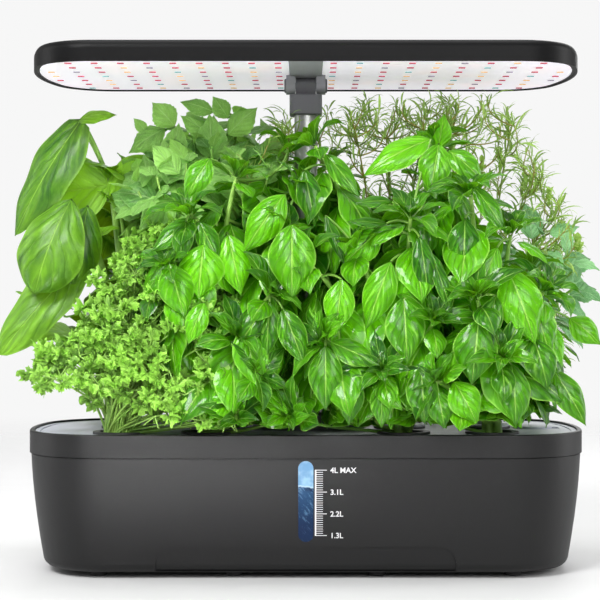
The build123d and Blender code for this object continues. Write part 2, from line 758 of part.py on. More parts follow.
def chip_positions():
    """Every chip's (x, y, kind), kind one of red, warm, teal and white."""
    inside = lamp_face(light_board_inset + led_edge_margin)
    order = ("red", "warm", "red", "teal", "red", "red", "warm", "white")
    for row in range(-led_rows, led_rows + 1):
        for step in range(-led_columns, led_columns):
            x = (step + 0.5) * led_pitch_x + math.copysign(spine_width / 2 - 1.4, step + 0.5)
            y = row * led_pitch_y
            if not inside.is_inside((x, y, 0)):
                continue
            kind = order[(step + led_columns + 3 * (row + led_rows)) % len(order)]
            if row == -led_rows and step < 0:
                kind = "red"
            yield x, y, kind


def make_chips(kind):
    """All the light chips of one kind."""
    length, width, height = led_size
    chips = []
    for x, y, this in chip_positions():
        if this == kind:
            chips.append(Pos(x, y, light_board_z - height / 2) * Box(length, width, height))
    return chips


# ================================================================ pump
pump_x = -144.0
chamber_z = pump_bottom_z + pump_chamber_rise
chamber_y = -pump_width / 2 + pump_wall


def make_pump_housing():
    """The pump body with its round chamber, shaft and outlet stub."""
    half = pump_length / 2
    body = block((pump_x - half, pump_x + half), (-pump_width / 2, pump_width / 2),
                 (pump_bottom_z, pump_bottom_z + pump_height))
    body = fillet(body.edges().filter_by(Axis.Z), pump_corner)
    body -= block((pump_x - half - 1, pump_x + half + 1), (-pump_width, chamber_y), (0, 100))
    depth = impeller_length + 2.0
    body -= rod_y(impeller_radius + pump_bore_clearance, chamber_y - 1, chamber_y + depth, pump_x, chamber_z)
    pump_top_z = pump_bottom_z + pump_height
    body += post(outlet_radius + outlet_wall - 1.0, pump_top_z - 1, pump_top_z + 6, riser_x, 0)
    body -= post(outlet_radius - 1.2, chamber_z, 100, riser_x, 0)
    body -= block((riser_x - 2.5, riser_x + 2.5), (chamber_y + 2, 2.0), (chamber_z + 3, chamber_z + 8))
    body += rod_y(pump_shaft_radius, chamber_y, chamber_y + depth + 1, pump_x, chamber_z)
    return body


def make_pump_cover():
    """The intake plate with its slots."""
    half = pump_length / 2
    plate = block((pump_x - half, pump_x + half), (-pump_width / 2, chamber_y),
                  (pump_bottom_z, pump_bottom_z + pump_height))
    below, above = intake_reach
    for k in range(intake_slots):
        x = pump_x + (k - (intake_slots - 1) / 2) * intake_pitch
        slot_x = (x - intake_width / 2, x + intake_width / 2)
        plate -= block(slot_x, (-pump_width, 0), (chamber_z - below, chamber_z + above))
    return plate


def make_impeller():
    """A hub with flat blades on the pump's shaft."""
    y_low, y_high = chamber_y + 1.0, chamber_y + 1.0 + impeller_length
    wheel = rod_y(impeller_hub_radius, y_low, y_high, pump_x, chamber_z)
    for k in range(impeller_blades):
        blade = Pos(impeller_radius / 2, 0, 0) * Box(impeller_radius, impeller_length, impeller_plate)
        wheel += Pos(pump_x, (y_low + y_high) / 2, chamber_z) * Rot(0, 360 / impeller_blades * k, 0) * blade
    wheel += rod_y(impeller_radius - 0.4, y_high - impeller_plate, y_high, pump_x, chamber_z)
    return wheel - rod_y(pump_shaft_radius + 0.08, -50, 50, pump_x, chamber_z)


def make_riser():
    """The tube from the pump up into the deck."""
    stub_top = pump_bottom_z + pump_height + 0.1
    pipe = post(outlet_radius + outlet_wall, stub_top, deck_bottom_z, riser_x, 0)
    return pipe - post(outlet_radius + 0.2, 0, 200, riser_x, 0)


# ================================================================ write every node
def main():
    """Builds and writes every sub-part."""
    save("reservoir_tub", make_reservoir())
    save("sight_window", make_window())
    save("reservoir_feet", *make_feet())
    save("deck_frame", make_frame())
    save("grow_deck", make_deck())
    save("refill_cap", make_refill_cap())
    save("refill_pin", make_refill_pin())
    planted = [(x, y) for y in (pod_row_y[0], pod_row_y[2]) for x in pod_column_x]
    save("planted_baskets", *[make_basket(x, y) for x, y in planted])
    save("planted_sponges", *[make_sponge(x, y) for x, y in planted])
    for number, x in enumerate(pod_column_x, 1):
        save(f"spare_basket_{number}", make_basket(x, pod_row_y[1]))
        save(f"spare_sponge_{number}", make_sponge(x, pod_row_y[1]))
        save(f"spare_cap_{number}", make_blank_cap(x, pod_row_y[1]))
    for column in range(len(pod_column_x)):
        save(f"herb_front_{column + 1}", make_herb(column, -1))
        save(f"herb_back_{column + 1}", make_herb(column, 1))
    save("control_housing", make_control_housing())
    save("control_board", make_control_board())
    for name, x in zip(("light", "timer", "pump"), button_x):
        save(f"button_{name}", make_button(x))
    save("power_inlet", make_inlet())
    save("pole_outer_tube", tube(outer_tube_radius, pole_bottom_z, pole_outer_top_z))
    save("pole_outer_bush", bush(outer_tube_radius, pole_outer_top_z))
    save("pole_middle_tube", tube(middle_tube_radius, *pole_middle_z))
    save("pole_middle_bush", bush(middle_tube_radius, pole_middle_z[1]))
    save("pole_inner_tube", tube(pole_inner_radius, pole_inner_bottom_z, sleeve_top_z - sleeve_roof))
    save("lamp_sleeve", make_sleeve())
    save("hinge_pin", make_hinge_pin())
    save("lamp_spine", make_spine())
    save("lamp_housing", make_lamp_housing())
    save("light_board", make_light_board())
    save("heat_plate", make_heat_plate())
    for kind in ("red", "warm", "teal", "white"):
        save(f"chips_{kind}", *make_chips(kind))
    save("pump_housing", make_pump_housing())
    save("pump_cover", make_pump_cover())
    save("pump_impeller", make_impeller())
    save("pump_riser", make_riser())


main()
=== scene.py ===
"""Looks of the countertop hydroponic garden: materials for its hard parts, and the living herbs.

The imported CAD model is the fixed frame, in metres, with +Z up and the front towards -Y. Hard parts keep
their CAD meshes and get procedural finishes. The herbs and the gauge print are built here.
"""
import logging
import math
import random
from dataclasses import dataclass, field
from enum import Enum
from typing import Any, Callable, Dict, Iterable, List, Optional, Sequence, Tuple, Union

import bpy
import numpy as np
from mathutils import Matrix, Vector
from mathutils.bvhtree import BVHTree


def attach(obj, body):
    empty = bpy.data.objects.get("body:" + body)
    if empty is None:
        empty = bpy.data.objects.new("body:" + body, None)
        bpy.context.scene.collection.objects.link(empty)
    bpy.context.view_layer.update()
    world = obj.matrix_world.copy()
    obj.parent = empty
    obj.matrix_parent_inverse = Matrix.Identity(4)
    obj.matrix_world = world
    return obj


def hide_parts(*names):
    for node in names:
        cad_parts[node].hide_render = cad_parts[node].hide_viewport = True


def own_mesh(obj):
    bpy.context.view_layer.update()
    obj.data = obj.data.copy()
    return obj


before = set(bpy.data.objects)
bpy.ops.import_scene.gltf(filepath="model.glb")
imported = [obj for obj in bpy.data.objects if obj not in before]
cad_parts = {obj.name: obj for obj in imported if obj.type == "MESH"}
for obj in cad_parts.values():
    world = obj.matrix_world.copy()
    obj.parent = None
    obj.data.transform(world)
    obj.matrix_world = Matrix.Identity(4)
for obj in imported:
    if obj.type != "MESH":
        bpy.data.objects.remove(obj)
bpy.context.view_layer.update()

MM = 0.001
TURN = 6.28  # a full turn in radians, rounded, as the dice and the waves use it
STEM_TURN = 6.283  # the same, as the marks round a stem use it
LEAF_TURN = 2.4  # radians from one small leaf to the next round a tip
LOG = logging.getLogger("garden")
Colour = Tuple[float, float, float]
Shape = Tuple[np.ndarray, np.ndarray, np.ndarray]


# ---------------------------------------------------------------- shader writing
def operator(operation: str, swapped: bool = False) -> Callable[..., "Wire"]:
    """A method for Wire that adds a Math node.

    Args:
        operation: the Math node's operation.
        swapped: whether the other value comes first.

    Returns:
        The method.
    """

    def method(self: "Wire", *others: Any) -> "Wire":
        """The node's output, for this wire and the other value where there is one."""
        return self.calculate(operation, *((*others, self) if swapped else (self, *others)))

    return method


class Wire:
    """A shader node's output that can be used in Python expressions."""

    __add__ = operator("ADD")
    __radd__ = operator("ADD", True)
    __sub__ = operator("SUBTRACT")
    __rsub__ = operator("SUBTRACT", True)
    __mul__ = operator("MULTIPLY")
    __truediv__ = operator("DIVIDE")
    __pow__ = operator("POWER")
    __abs__ = operator("ABSOLUTE")
    fraction = operator("FRACT")
    sine = operator("SINE")
    at_least = operator("MAXIMUM")

    def __init__(self, paint: "Paint", socket: bpy.types.NodeSocket) -> None:
        """Args:
            paint: the material that the socket belongs to.
            socket: the output to wrap.
        """
        self.paint = paint
        self.socket = socket

    def calculate(self, operation: str, *values: Any, clamp: bool = False) -> "Wire":
        """Adds a Math node.

        Args:
            operation: the Math node's operation.
            values: its inputs in order, numbers or wires.
            clamp: whether the result is kept between 0 and 1.

        Returns:
            The node's output.
        """
        settings = {"operation": operation, "use_clamp": clamp}
        return self.paint.node("ShaderNodeMath", settings, dict(enumerate(values)))

    def clamped(self) -> "Wire":
        """The value kept between 0 and 1."""
        return self.calculate("ADD", self, 0.0, clamp=True)

    def step(self, low: float, high: float) -> "Wire":
        """A smooth step.

        Args:
            low: the value at which the step is 0.
            high: the value at which the step is 1, which may be the smaller one.

        Returns:
            A wire from 0 to 1.
        """
        if low > high:
            return 1.0 - self.step(high, low)
        inputs = {"Value": self, "From Min": low, "From Max": high}
        return self.paint.node("ShaderNodeMapRange", {"interpolation_type": "SMOOTHSTEP"}, inputs)


class Paint:
    """One material under construction, with short ways to add its nodes."""

    def __init__(self, name: str) -> None:
        """Args:
            name: the material's name.
        """
        self.material = bpy.data.materials.new(name)
        self.material.use_nodes = True
        self.tree = self.material.node_tree
        self.tree.nodes.clear()
        self.output = self.tree.nodes.new("ShaderNodeOutputMaterial")
        self._place: Optional[Wire] = None

    def node(
        self, kind: str, settings: Optional[Dict[str, Any]] = None,
        inputs: Optional[Dict[Union[str, int], Any]] = None, output: Union[str, int] = 0,
    ) -> Wire:
        """Adds any node.

        Args:
            kind: the node's type.
            settings: its properties, set first.
            inputs: socket name or number to a value or a wire; a colour of three gets an alpha of 1.
            output: which output to return.

        Returns:
            The chosen output.
        """
        made = self.tree.nodes.new(kind)
        for key, value in (settings or {}).items():
            setattr(made, key, value)
        for key, value in (inputs or {}).items():
            socket = made.inputs[key]
            if isinstance(value, Wire):
                self.tree.links.new(value.socket, socket)
            else:
                short = socket.type == "RGBA" and len(value) == 3
                socket.default_value = (*value, 1.0) if short else value
        return Wire(self, made.outputs[output])

    @property
    def place(self) -> Wire:
        """The point's place in the row's frame, in metres."""
        self._place = self._place or self.node("ShaderNodeTexCoord", output="Object")
        return self._place

    def axis(self, letter: str, vector: Optional[Wire] = None) -> Wire:
        """One part of a vector, or of the point's place if no vector is given."""
        return self.node("ShaderNodeSeparateXYZ", inputs={0: vector or self.place}, output=letter)

    def leaf_marks(self) -> Wire:
        """The (across, along, tint) marks of leaves and stems."""
        return self.node("ShaderNodeAttribute", {"attribute_name": "leaf"}, output="Vector")

    def scaled(self, factors: Tuple[float, float, float], vector: Optional[Wire] = None) -> Wire:
        """A vector, or the point's place if none is given, with each part multiplied."""
        inputs = {0: vector or self.place, 1: factors}
        return self.node("ShaderNodeVectorMath", {"operation": "MULTIPLY"}, inputs)

    def noise(
        self, scale: float, detail: float = 2.0, rough: float = 0.5, vector: Optional[Wire] = None
    ) -> Wire:
        """Smooth noise from 0 to 1.

        Args:
            scale: bumps per metre, or per unit of the vector.
            detail: how many finer layers are added.
            rough: how strong those are.
            vector: where to read it, the point's place if left out.

        Returns:
            The noise as a number.
        """
        inputs = {"Vector": vector or self.place, "Scale": scale, "Detail": detail, "Roughness": rough}
        return self.node("ShaderNodeTexNoise", inputs=inputs)

    def cells(self, scale: float, feature: str = "F1") -> Wire:
        """The distance in a cell pattern with so many cells per metre."""
        inputs = {"Vector": self.place, "Scale": scale}
        return self.node("ShaderNodeTexVoronoi", {"feature": feature}, inputs, output="Distance")

    def mix(self, low: Any, high: Any, factor: Any) -> Wire:
        """The colour between low, at factor 0, and high, at factor 1."""
        return self.node("ShaderNodeMix", {"data_type": "RGBA"}, {0: factor, 6: low, 7: high}, output=2)

    def blend(self, factor: Any, first: Wire, second: Wire) -> Wire:
        """The shader between the first, at factor 0, and the second, at factor 1."""
        return self.node("ShaderNodeMixShader", inputs={0: factor, 1: first, 2: second})

    def bump(self, height: Wire, distance: float, strength: float = 1.0) -> Wire:
        """A surface relief.

        Args:
            height: 0 to 1.
            distance: what a height of 1 stands for, in metres.
            strength: how much of it shows.

        Returns:
            The changed normal.
        """
        inputs = {"Height": height, "Distance": distance, "Strength": strength}
        return self.node("ShaderNodeBump", inputs=inputs)

    def principled(self, **inputs: Any) -> Wire:
        """The main shader, from socket names with _ for spaces."""
        named = {key.replace("_", " "): value for key, value in inputs.items()}
        return self.node("ShaderNodeBsdfPrincipled", inputs=named)

    def close(self, shader: Wire) -> bpy.types.Material:
        """Ends the material with its surface shader and returns it."""
        self.tree.links.new(shader.socket, self.output.inputs["Surface"])
        return self.material


def shaded(colour: Colour, factor: float) -> Colour:
    """The colour made darker or lighter by a factor."""
    return tuple(channel * factor for channel in colour)


# ---------------------------------------------------------------- finishes
@dataclass(frozen=True)
class MouldedPlastic:
    """Injection-moulded plastic with a fine spark-eroded grain."""

    name: str
    colour: Colour
    roughness: float = 0.45
    grain_per_metre: float = 1500.0
    grain_depth: float = 0.00004
    cloud: float = 0.12
    coat: float = 0.0
    gloss: float = 0.5

    def make(self) -> bpy.types.Material:
        """Returns:
            The material.
        """
        paint = Paint(self.name)
        cloud = paint.noise(14.0, 3.0)
        grain = paint.noise(self.grain_per_metre, 2.0, 0.6)
        smear = paint.noise(60.0, 4.0, 0.6, paint.scaled((1.0, 1.0, 0.25)))
        low = shaded(self.colour, 1 - self.cloud)
        high = shaded(self.colour, 1 + self.cloud)
        colour = paint.mix(low, high, (cloud * 0.7 + grain * 0.3).clamped())
        rough = (self.roughness - 0.05) + smear * 0.10 + grain * 0.05
        return paint.close(paint.principled(
            Base_Color=colour,
            Roughness=rough,
            Specular_IOR_Level=self.gloss,
            Coat_Weight=self.coat,
            Coat_Roughness=0.18,
            Normal=paint.bump(grain, self.grain_depth, 0.6),))


@dataclass(frozen=True)
class PolishedSteel:
    """A drawn steel tube with very fine lines along it."""

    name: str
    colour: Colour = (0.38, 0.39, 0.38)

    def make(self) -> bpy.types.Material:
        """Returns:
            The material.
        """
        paint = Paint(self.name)
        lines = paint.noise(900.0, 3.0, 0.6, paint.scaled((1.0, 1.0, 0.02)))
        marks = paint.noise(120.0, 2.0)
        dull = shaded(self.colour, 0.86)
        return paint.close(paint.principled(
            Base_Color=paint.mix(dull, self.colour, lines),
            Metallic=1.0,
            Roughness=0.34 + lines * 0.10 + marks * 0.05,
            Normal=paint.bump(lines, 0.00002, 0.5),))


@dataclass(frozen=True)
class SightPane:
    """A clear pane with water behind it, up to the water line, with heights in metres. Its colour paints the
    water seen through it, with painted glints, a painted highlight along the water line and a painted shade
    line under it.
    """

    name: str
    water_line: float = 0.0583
    bottom: float = 0.024
    air: Colour = (0.10, 0.23, 0.40)
    mist: Colour = (0.22, 0.38, 0.52)
    shallow: Colour = (0.010, 0.045, 0.11)
    deep: Colour = (0.003, 0.014, 0.050)
    glint: Colour = (0.12, 0.24, 0.38)
    # rim: a painted highlight along the water line
    rim: Colour = (0.45, 0.62, 0.78)
    streak_slant: float = 38.0

    def make(self) -> bpy.types.Material:
        """Returns:
            The material.
        """
        paint = Paint(self.name)
        across, height = paint.axis("X"), paint.axis("Z")
        swell = paint.noise(260.0, 2.0, 0.5, paint.scaled((1.0, 0.0, 0.0)))
        surface = height - self.water_line + (swell - 0.5) * 0.0045 + across * 0.12
        wet = surface.step(0.0004, -0.0004)
        depth = ((self.water_line - height) / (self.water_line - self.bottom)).clamped()
        slant = paint.node(
            "ShaderNodeVectorRotate", {"rotation_type": "Y_AXIS"},
            {"Vector": paint.place, "Angle": math.radians(self.streak_slant)},
        )
        highlight_streaks = paint.noise(520.0, 3.0, 0.6, paint.scaled((1.0, 0.0, 0.22), slant))
        bubbles = paint.cells(700.0).step(0.22, 0.10)
        water = paint.mix(self.shallow, self.deep, depth.step(0.0, 0.8))
        # painted glints: light streaks and bubbles in the water, fading with depth
        water = paint.mix(water, self.glint, highlight_streaks.step(0.52, 0.72) * (1.0 - depth * 0.75))
        water = paint.mix(water, self.glint, bubbles * (1.0 - depth) * 0.5)
        sky = paint.mix(self.air, self.mist, paint.noise(180.0, 2.0).step(0.35, 0.7))
        # painted shade: a dark line just under the water line
        waterline_shade = abs(surface + 0.0016).step(0.0018, 0.0002)
        colour = paint.mix(paint.mix(sky, water, wet), self.deep, waterline_shade * highlight_streaks.step(0.62, 0.42))
        # painted highlight: a bright line along the water line
        colour = paint.mix(colour, self.rim, abs(surface).step(0.0008, 0.0002) * 0.6)
        return paint.close(paint.principled(
            Base_Color=colour, Roughness=0.08 + paint.noise(90.0) * 0.06, Coat_Weight=0.12,
            Coat_Roughness=0.04, Specular_IOR_Level=0.15,))


@dataclass(frozen=True)
class Foam:
    """Open-celled grow foam."""

    name: str
    colour: Colour

    def make(self) -> bpy.types.Material:
        """Returns:
            The material.
        """
        paint = Paint(self.name)
        pores = paint.cells(900.0)
        fine = paint.noise(1600.0, 3.0, 0.7)
        # painted shade: the pores are darker, as shade falls in the hollows
        pore_shade = shaded(self.colour, 0.25)
        return paint.close(paint.principled(
            Base_Color=paint.mix(pore_shade, self.colour, (pores * 0.9 + fine * 0.4).clamped()),
            Roughness=0.88 + fine * 0.08,
            Normal=paint.bump(pores.step(0.05, 0.6), 0.0005, 0.9),))


@dataclass(frozen=True)
class Rubber:
    """Soft matte rubber."""

    name: str
    colour: Colour = (0.018, 0.018, 0.019)

    def make(self) -> bpy.types.Material:
        """Returns:
            The material.
        """
        paint = Paint(self.name)
        dust = paint.noise(500.0, 4.0, 0.65)
        pale = shaded(self.colour, 2.2)
        return paint.close(paint.principled(
            Base_Color=paint.mix(self.colour, pale, dust.step(0.5, 0.9)),
            Roughness=0.72 + dust * 0.16,
            Normal=paint.bump(dust, 0.00008, 0.6),))


@dataclass(frozen=True)
class LightBoard:
    """The lamp's white coated board. Its glow and its violet and rose tints are painted light from its own
    chips.
    """

    name: str
    # glow: the board's emission, painted light from its chips
    glow: float = 0.34
    violet: Colour = (0.87, 0.82, 0.93)
    rose: Colour = (0.95, 0.81, 0.88)
    cool: Colour = (0.82, 0.85, 0.90)

    def make(self) -> bpy.types.Material:
        """Returns:
            The material.
        """
        paint = Paint(self.name)
        patches = paint.noise(42.0, 2.0, 0.5)
        # painted light: violet and rose patches of the chips' light on the white board
        warm = paint.mix(self.violet, self.rose, patches.step(0.45, 0.75))
        colour = paint.mix(warm, self.cool, paint.noise(55.0, 2.0, 0.5).step(0.55, 0.8) * 0.6)
        weave = paint.noise(2400.0, 1.0)
        # the board glows though it is no lamp: painted light
        return paint.close(paint.principled(
            Base_Color=colour, Roughness=0.42 + weave * 0.1, Emission_Color=colour,
            Emission_Strength=self.glow, Normal=paint.bump(weave, 0.00002, 0.4),))


@dataclass(frozen=True)
class LightChip:
    """A lit chip under its clear lens."""

    name: str
    colour: Colour
    glow: float = 0.3

    def make(self) -> bpy.types.Material:
        """Returns:
            The material.
        """
        paint = Paint(self.name)
        lens = paint.noise(900.0, 1.0)
        bright = tuple(min(1.0, channel * 1.25 + 0.05) for channel in self.colour)
        colour = paint.mix(self.colour, bright, lens)
        return paint.close(paint.principled(
            Base_Color=colour, Roughness=0.2 + lens * 0.15, Emission_Color=colour,
            Emission_Strength=self.glow))


@dataclass(frozen=True)
class CircuitBoard:
    """Green solder mask with copper tracks under it."""

    name: str
    mask: Colour = (0.010, 0.085, 0.035)
    over_track: Colour = (0.04, 0.19, 0.075)

    def make(self) -> bpy.types.Material:
        """Returns:
            The material.
        """
        paint = Paint(self.name)
        tracks = paint.cells(260.0, "DISTANCE_TO_EDGE").step(0.10, 0.06)
        fine = paint.noise(1200.0, 2.0)
        colour = paint.mix(self.mask, self.over_track, tracks)
        return paint.close(paint.principled(
            Base_Color=colour, Roughness=0.32 + fine * 0.12, Normal=paint.bump(tracks, 0.00004, 0.7)))


@dataclass(frozen=True)
class BrushedAluminium:
    """Rolled aluminium sheet."""

    name: str
    low: Colour = (0.66, 0.67, 0.69)
    high: Colour = (0.83, 0.84, 0.85)

    def make(self) -> bpy.types.Material:
        """Returns:
            The material.
        """
        paint = Paint(self.name)
        lines = paint.noise(700.0, 4.0, 0.65, paint.scaled((0.03, 1.0, 1.0)))
        return paint.close(paint.principled(
            Base_Color=paint.mix(self.low, self.high, lines), Metallic=1.0,
            Roughness=0.28 + lines * 0.18, Normal=paint.bump(lines, 0.00003, 0.6),))


@dataclass(frozen=True)
class WhitePrint:
    """Screen-printed ink."""

    name: str
    thin: Colour = (0.56, 0.56, 0.57)
    full: Colour = (0.76, 0.76, 0.77)

    def make(self) -> bpy.types.Material:
        """Returns:
            The material.
        """
        paint = Paint(self.name)
        speckle = paint.noise(2600.0, 2.0)
        return paint.close(paint.principled(
            Base_Color=paint.mix(self.thin, self.full, speckle), Roughness=0.45 + speckle * 0.1))


@dataclass(frozen=True)
class LeafFinish:
    """A living leaf: midrib and side veins, puckered blade, glossy skin and light through it, with painted
    highlight streaks, painted highlights on the bulges and pale margins that are partly a painted highlight.
    """

    name: str
    deep: Colour
    bright: Colour
    vein: Colour
    glow: Colour
    roughness: float = 0.32
    side_veins: float = 5.0
    vein_slant: float = 2.4
    vein_light: float = 0.30
    midrib: float = 0.08
    # streak: how much painted highlight the pale streaks give
    streak: float = 0.30
    # painted light and shade: lighter towards the outer end of the along mark, the leaflet edge for parsley
    margin_light: float = 0.0
    pucker: float = 0.0009
    network: float = 0.0
    # pale margins: partly the leaf's own paler edge, partly a painted highlight rim
    edge_light: float = 0.35
    translucency: float = 0.25
    coat: float = 0.1
    coat_roughness: float = 0.22
    gloss: float = 0.3
    wander: float = 0.55

    def make(self) -> bpy.types.Material:
        """Returns:
            The material.
        """
        paint = Paint(self.name)
        leaf = paint.leaf_marks()
        across, along, tint = (paint.axis(letter, leaf) for letter in "XYZ")
        side = abs(across)
        midrib = side.step(self.midrib, self.midrib * 0.2)
        bend = (paint.noise(55.0, 2.0) - 0.5) * self.wander
        sweep = along * self.side_veins - side * self.vein_slant + bend
        from_vein = abs((sweep + 20.0).fraction() - 0.5) * 2.0
        line = from_vein.step(0.86, 0.99) * side.step(1.0, 0.5)
        swell = 1.0 - from_vein ** 2.5
        run = {0: sweep * 1.6, 1: along * 1.4, 2: tint * 40.0 + across}
        # a pattern along the side veins that gives painted glossy highlight streaks and relief
        highlight_streaks = paint.noise(1.0, 3.0, 0.6, paint.node("ShaderNodeCombineXYZ", inputs=run))
        mottle = paint.noise(170.0, 3.0, 0.6)
        fine = paint.noise(1500.0, 3.0, 0.6)
        net = paint.cells(950.0, "DISTANCE_TO_EDGE").step(0.10, 0.02)
        # the tone varies at random, with painted highlights from the streaks, the bulges between side veins
        # and the margin light
        shade = tint * 0.75 + mottle * 0.35 + highlight_streaks * 0.80 + along * self.margin_light - 0.58 + swell * 0.08
        body = paint.mix(self.deep, self.bright, shade.clamped())
        # painted highlight: pale glossy streaks
        body = paint.mix(body, self.vein, highlight_streaks.step(0.55, 0.72) * self.streak)
        veins = (midrib * 0.60).at_least(line * self.vein_light).at_least(net * self.network)
        body = paint.mix(body, self.vein, veins)
        # pale margins, partly the leaf's own paler edge and partly a painted highlight rim
        edge = side.step(0.90, 0.99)
        body = paint.mix(body, self.vein, edge * self.edge_light)
        relief = swell * 0.45 + highlight_streaks * 0.9 - midrib * 0.9 - line * 0.35
        relief = relief - net * self.network * 0.5 + fine * 0.08
        normal = paint.bump(relief, self.pucker, 0.8)
        skin = paint.principled(
            Base_Color=body, Roughness=self.roughness - 0.05 + fine * 0.10 + mottle * 0.06,
            Coat_Weight=self.coat, Coat_Roughness=self.coat_roughness, Specular_IOR_Level=self.gloss,
            Normal=normal,
        )
        through = paint.node("ShaderNodeBsdfTranslucent", inputs={"Color": self.glow})
        return paint.close(paint.blend(self.translucency, skin, through))


@dataclass(frozen=True)
class StemFinish:
    """A ridged green stem."""

    name: str
    low: Colour
    high: Colour
    ridge_turn: float = 25.13

    def make(self) -> bpy.types.Material:
        """Returns:
            The material.
        """
        paint = Paint(self.name)
        leaf = paint.leaf_marks()
        around, tint = paint.axis("X", leaf), paint.axis("Z", leaf)
        ridges = (around * self.ridge_turn).sine() * 0.5 + 0.5
        mottle = paint.noise(300.0, 3.0, 0.6)
        return paint.close(paint.principled(
            Base_Color=paint.mix(self.low, self.high, (tint * 0.6 + mottle * 0.5).clamped()),
            Roughness=0.42 + mottle * 0.15, Normal=paint.bump(ridges * 0.6 + mottle * 0.4, 0.0003, 0.6),))


@dataclass(frozen=True)
class FloorFinish:
    """A pale seamless floor that fades out with distance."""

    name: str
    low: Colour = (0.56, 0.56, 0.562)
    high: Colour = (0.59, 0.59, 0.592)
    solid_radius: float = 0.55
    fade_radius: float = 1.5

    def make(self) -> bpy.types.Material:
        """Returns:
            The material.
        """
        paint = Paint(self.name)
        flat = paint.scaled((1.0, 1.0, 0.0))
        far = paint.node("ShaderNodeVectorMath", {"operation": "LENGTH"}, {0: flat}, output="Value")
        paper = paint.noise(35.0, 3.0)
        surface = paint.principled(
            Base_Color=paint.mix(self.low, self.high, paper), Roughness=0.62 + paper * 0.05
        )
        clear = paint.node("ShaderNodeBsdfTransparent")
        fade = far.step(self.solid_radius, self.fade_radius)
        return paint.close(paint.blend(fade, surface, clear))


# ---------------------------------------------------------------- meshes
def link(name: str, mesh: bpy.types.Mesh, materials: Iterable[bpy.types.Material]) -> bpy.types.Object:
    """Puts a mesh into the scene.

    Args:
        name: the object's name.
        mesh: its mesh.
        materials: its material slots.

    Returns:
        The object.
    """
    made = bpy.data.objects.new(name, mesh)
    bpy.context.scene.collection.objects.link(made)
    for material in materials:
        mesh.materials.append(material)
    return made


class Growth:
    """Gathers many leaves and stems into one mesh."""

    def __init__(self) -> None:
        """Starts empty."""
        self.parts: List[Tuple[np.ndarray, ...]] = []
        self.count = 0

    def add(self, points: np.ndarray, faces: np.ndarray, marks: np.ndarray, slot: int) -> None:
        """Adds one leaf or stem.

        Args:
            points: its vertices, in metres.
            faces: its quads.
            marks: (across, along, tint) of each vertex.
            slot: its material slot.
        """
        self.parts.append((points, faces + self.count, marks, np.full(len(faces), slot)))
        self.count += len(points)

    def add_leaf(self, points: np.ndarray, faces: np.ndarray, marks: np.ndarray, tint: float) -> None:
        """Adds one leaf.

        Args:
            points: its vertices, in metres.
            faces: its quads.
            marks: (across, along) of each vertex.
            tint: 0 for the deepest colour, 1 for the brightest.
        """
        tints = np.full((len(points), 1), min(1.0, max(0.0, tint)))
        self.add(points, faces, np.concatenate([marks, tints], axis=1), 0)

    def finish(self, name: str, materials: Sequence[bpy.types.Material]) -> bpy.types.Object:
        """Makes the object.

        Args:
            name: its name.
            materials: its material slots.

        Returns:
            The object.
        """
        points, faces, marks, slots = (np.concatenate(part) for part in zip(*self.parts))
        mesh = bpy.data.meshes.new(name)
        mesh.from_pydata(points.tolist(), [], faces.tolist())
        layer = mesh.attributes.new("leaf", "FLOAT_VECTOR", "POINT")
        layer.data.foreach_set("vector", marks.astype(np.float32).ravel())
        made = link(name, mesh, materials)
        mesh.polygons.foreach_set("material_index", slots.astype(np.int32))
        mesh.polygons.foreach_set("use_smooth", np.ones(len(faces), dtype=bool))
        mesh.update()
        return made


def grid_faces(rows: int, columns: int, closed: bool = False) -> np.ndarray:
    """Quads between rows of points.

    Args:
        rows: how many rows.
        columns: how many points in a row.
        closed: whether the last column joins the first.

    Returns:
        The quads.
    """
    left = np.arange(columns if closed else columns - 1)
    right = (left + 1) % columns
    start = np.arange(rows - 1)[:, None] * columns
    corners = [start + left, start + right, start + columns + right, start + columns + left]
    return np.stack(corners, axis=-1).reshape(-1, 4)


def raised(amount: float) -> np.ndarray:
    """A step straight up."""
    return np.array([0.0, 0.0, amount])


def unit(vector: Sequence[float]) -> np.ndarray:
    """The vector's direction, as a vector of length 1."""
    array = np.asarray(vector, dtype=float)
    return array / max(float(np.linalg.norm(array)), 1e-9)


def round_stem(way: np.ndarray, angle: float) -> np.ndarray:
    """The way out of a stem at an angle round it.

    Args:
        way: the way the stem runs.
        angle: in radians.

    Returns:
        A vector of length 1 at right angles to the stem.
    """
    first = unit(np.cross(way, (0.2, 0.9, 0.1)))
    return math.cos(angle) * first + math.sin(angle) * np.cross(way, first)


def turned_to(points: np.ndarray, along: np.ndarray, up: np.ndarray) -> np.ndarray:
    """Turns a leaf from +Y and face up to another way.

    Args:
        points: its vertices.
        along: the way it points.
        up: roughly the way its face looks.

    Returns:
        The turned vertices.
    """
    forward = unit(along)
    side = unit(np.cross(forward, up))
    return points[:, :1] * side + points[:, 1:2] * forward + points[:, 2:] * np.cross(side, forward)


def bezier(start: np.ndarray, pull: np.ndarray, end: np.ndarray, count: int) -> np.ndarray:
    """Points on a curve with one control point.

    Args:
        start: the first point.
        pull: the point that bends the curve.
        end: the last point.
        count: how many points.

    Returns:
        The points.
    """
    t = np.linspace(0, 1, count)[:, None]
    return (1 - t) ** 2 * start + 2 * t * (1 - t) * pull + t ** 2 * end


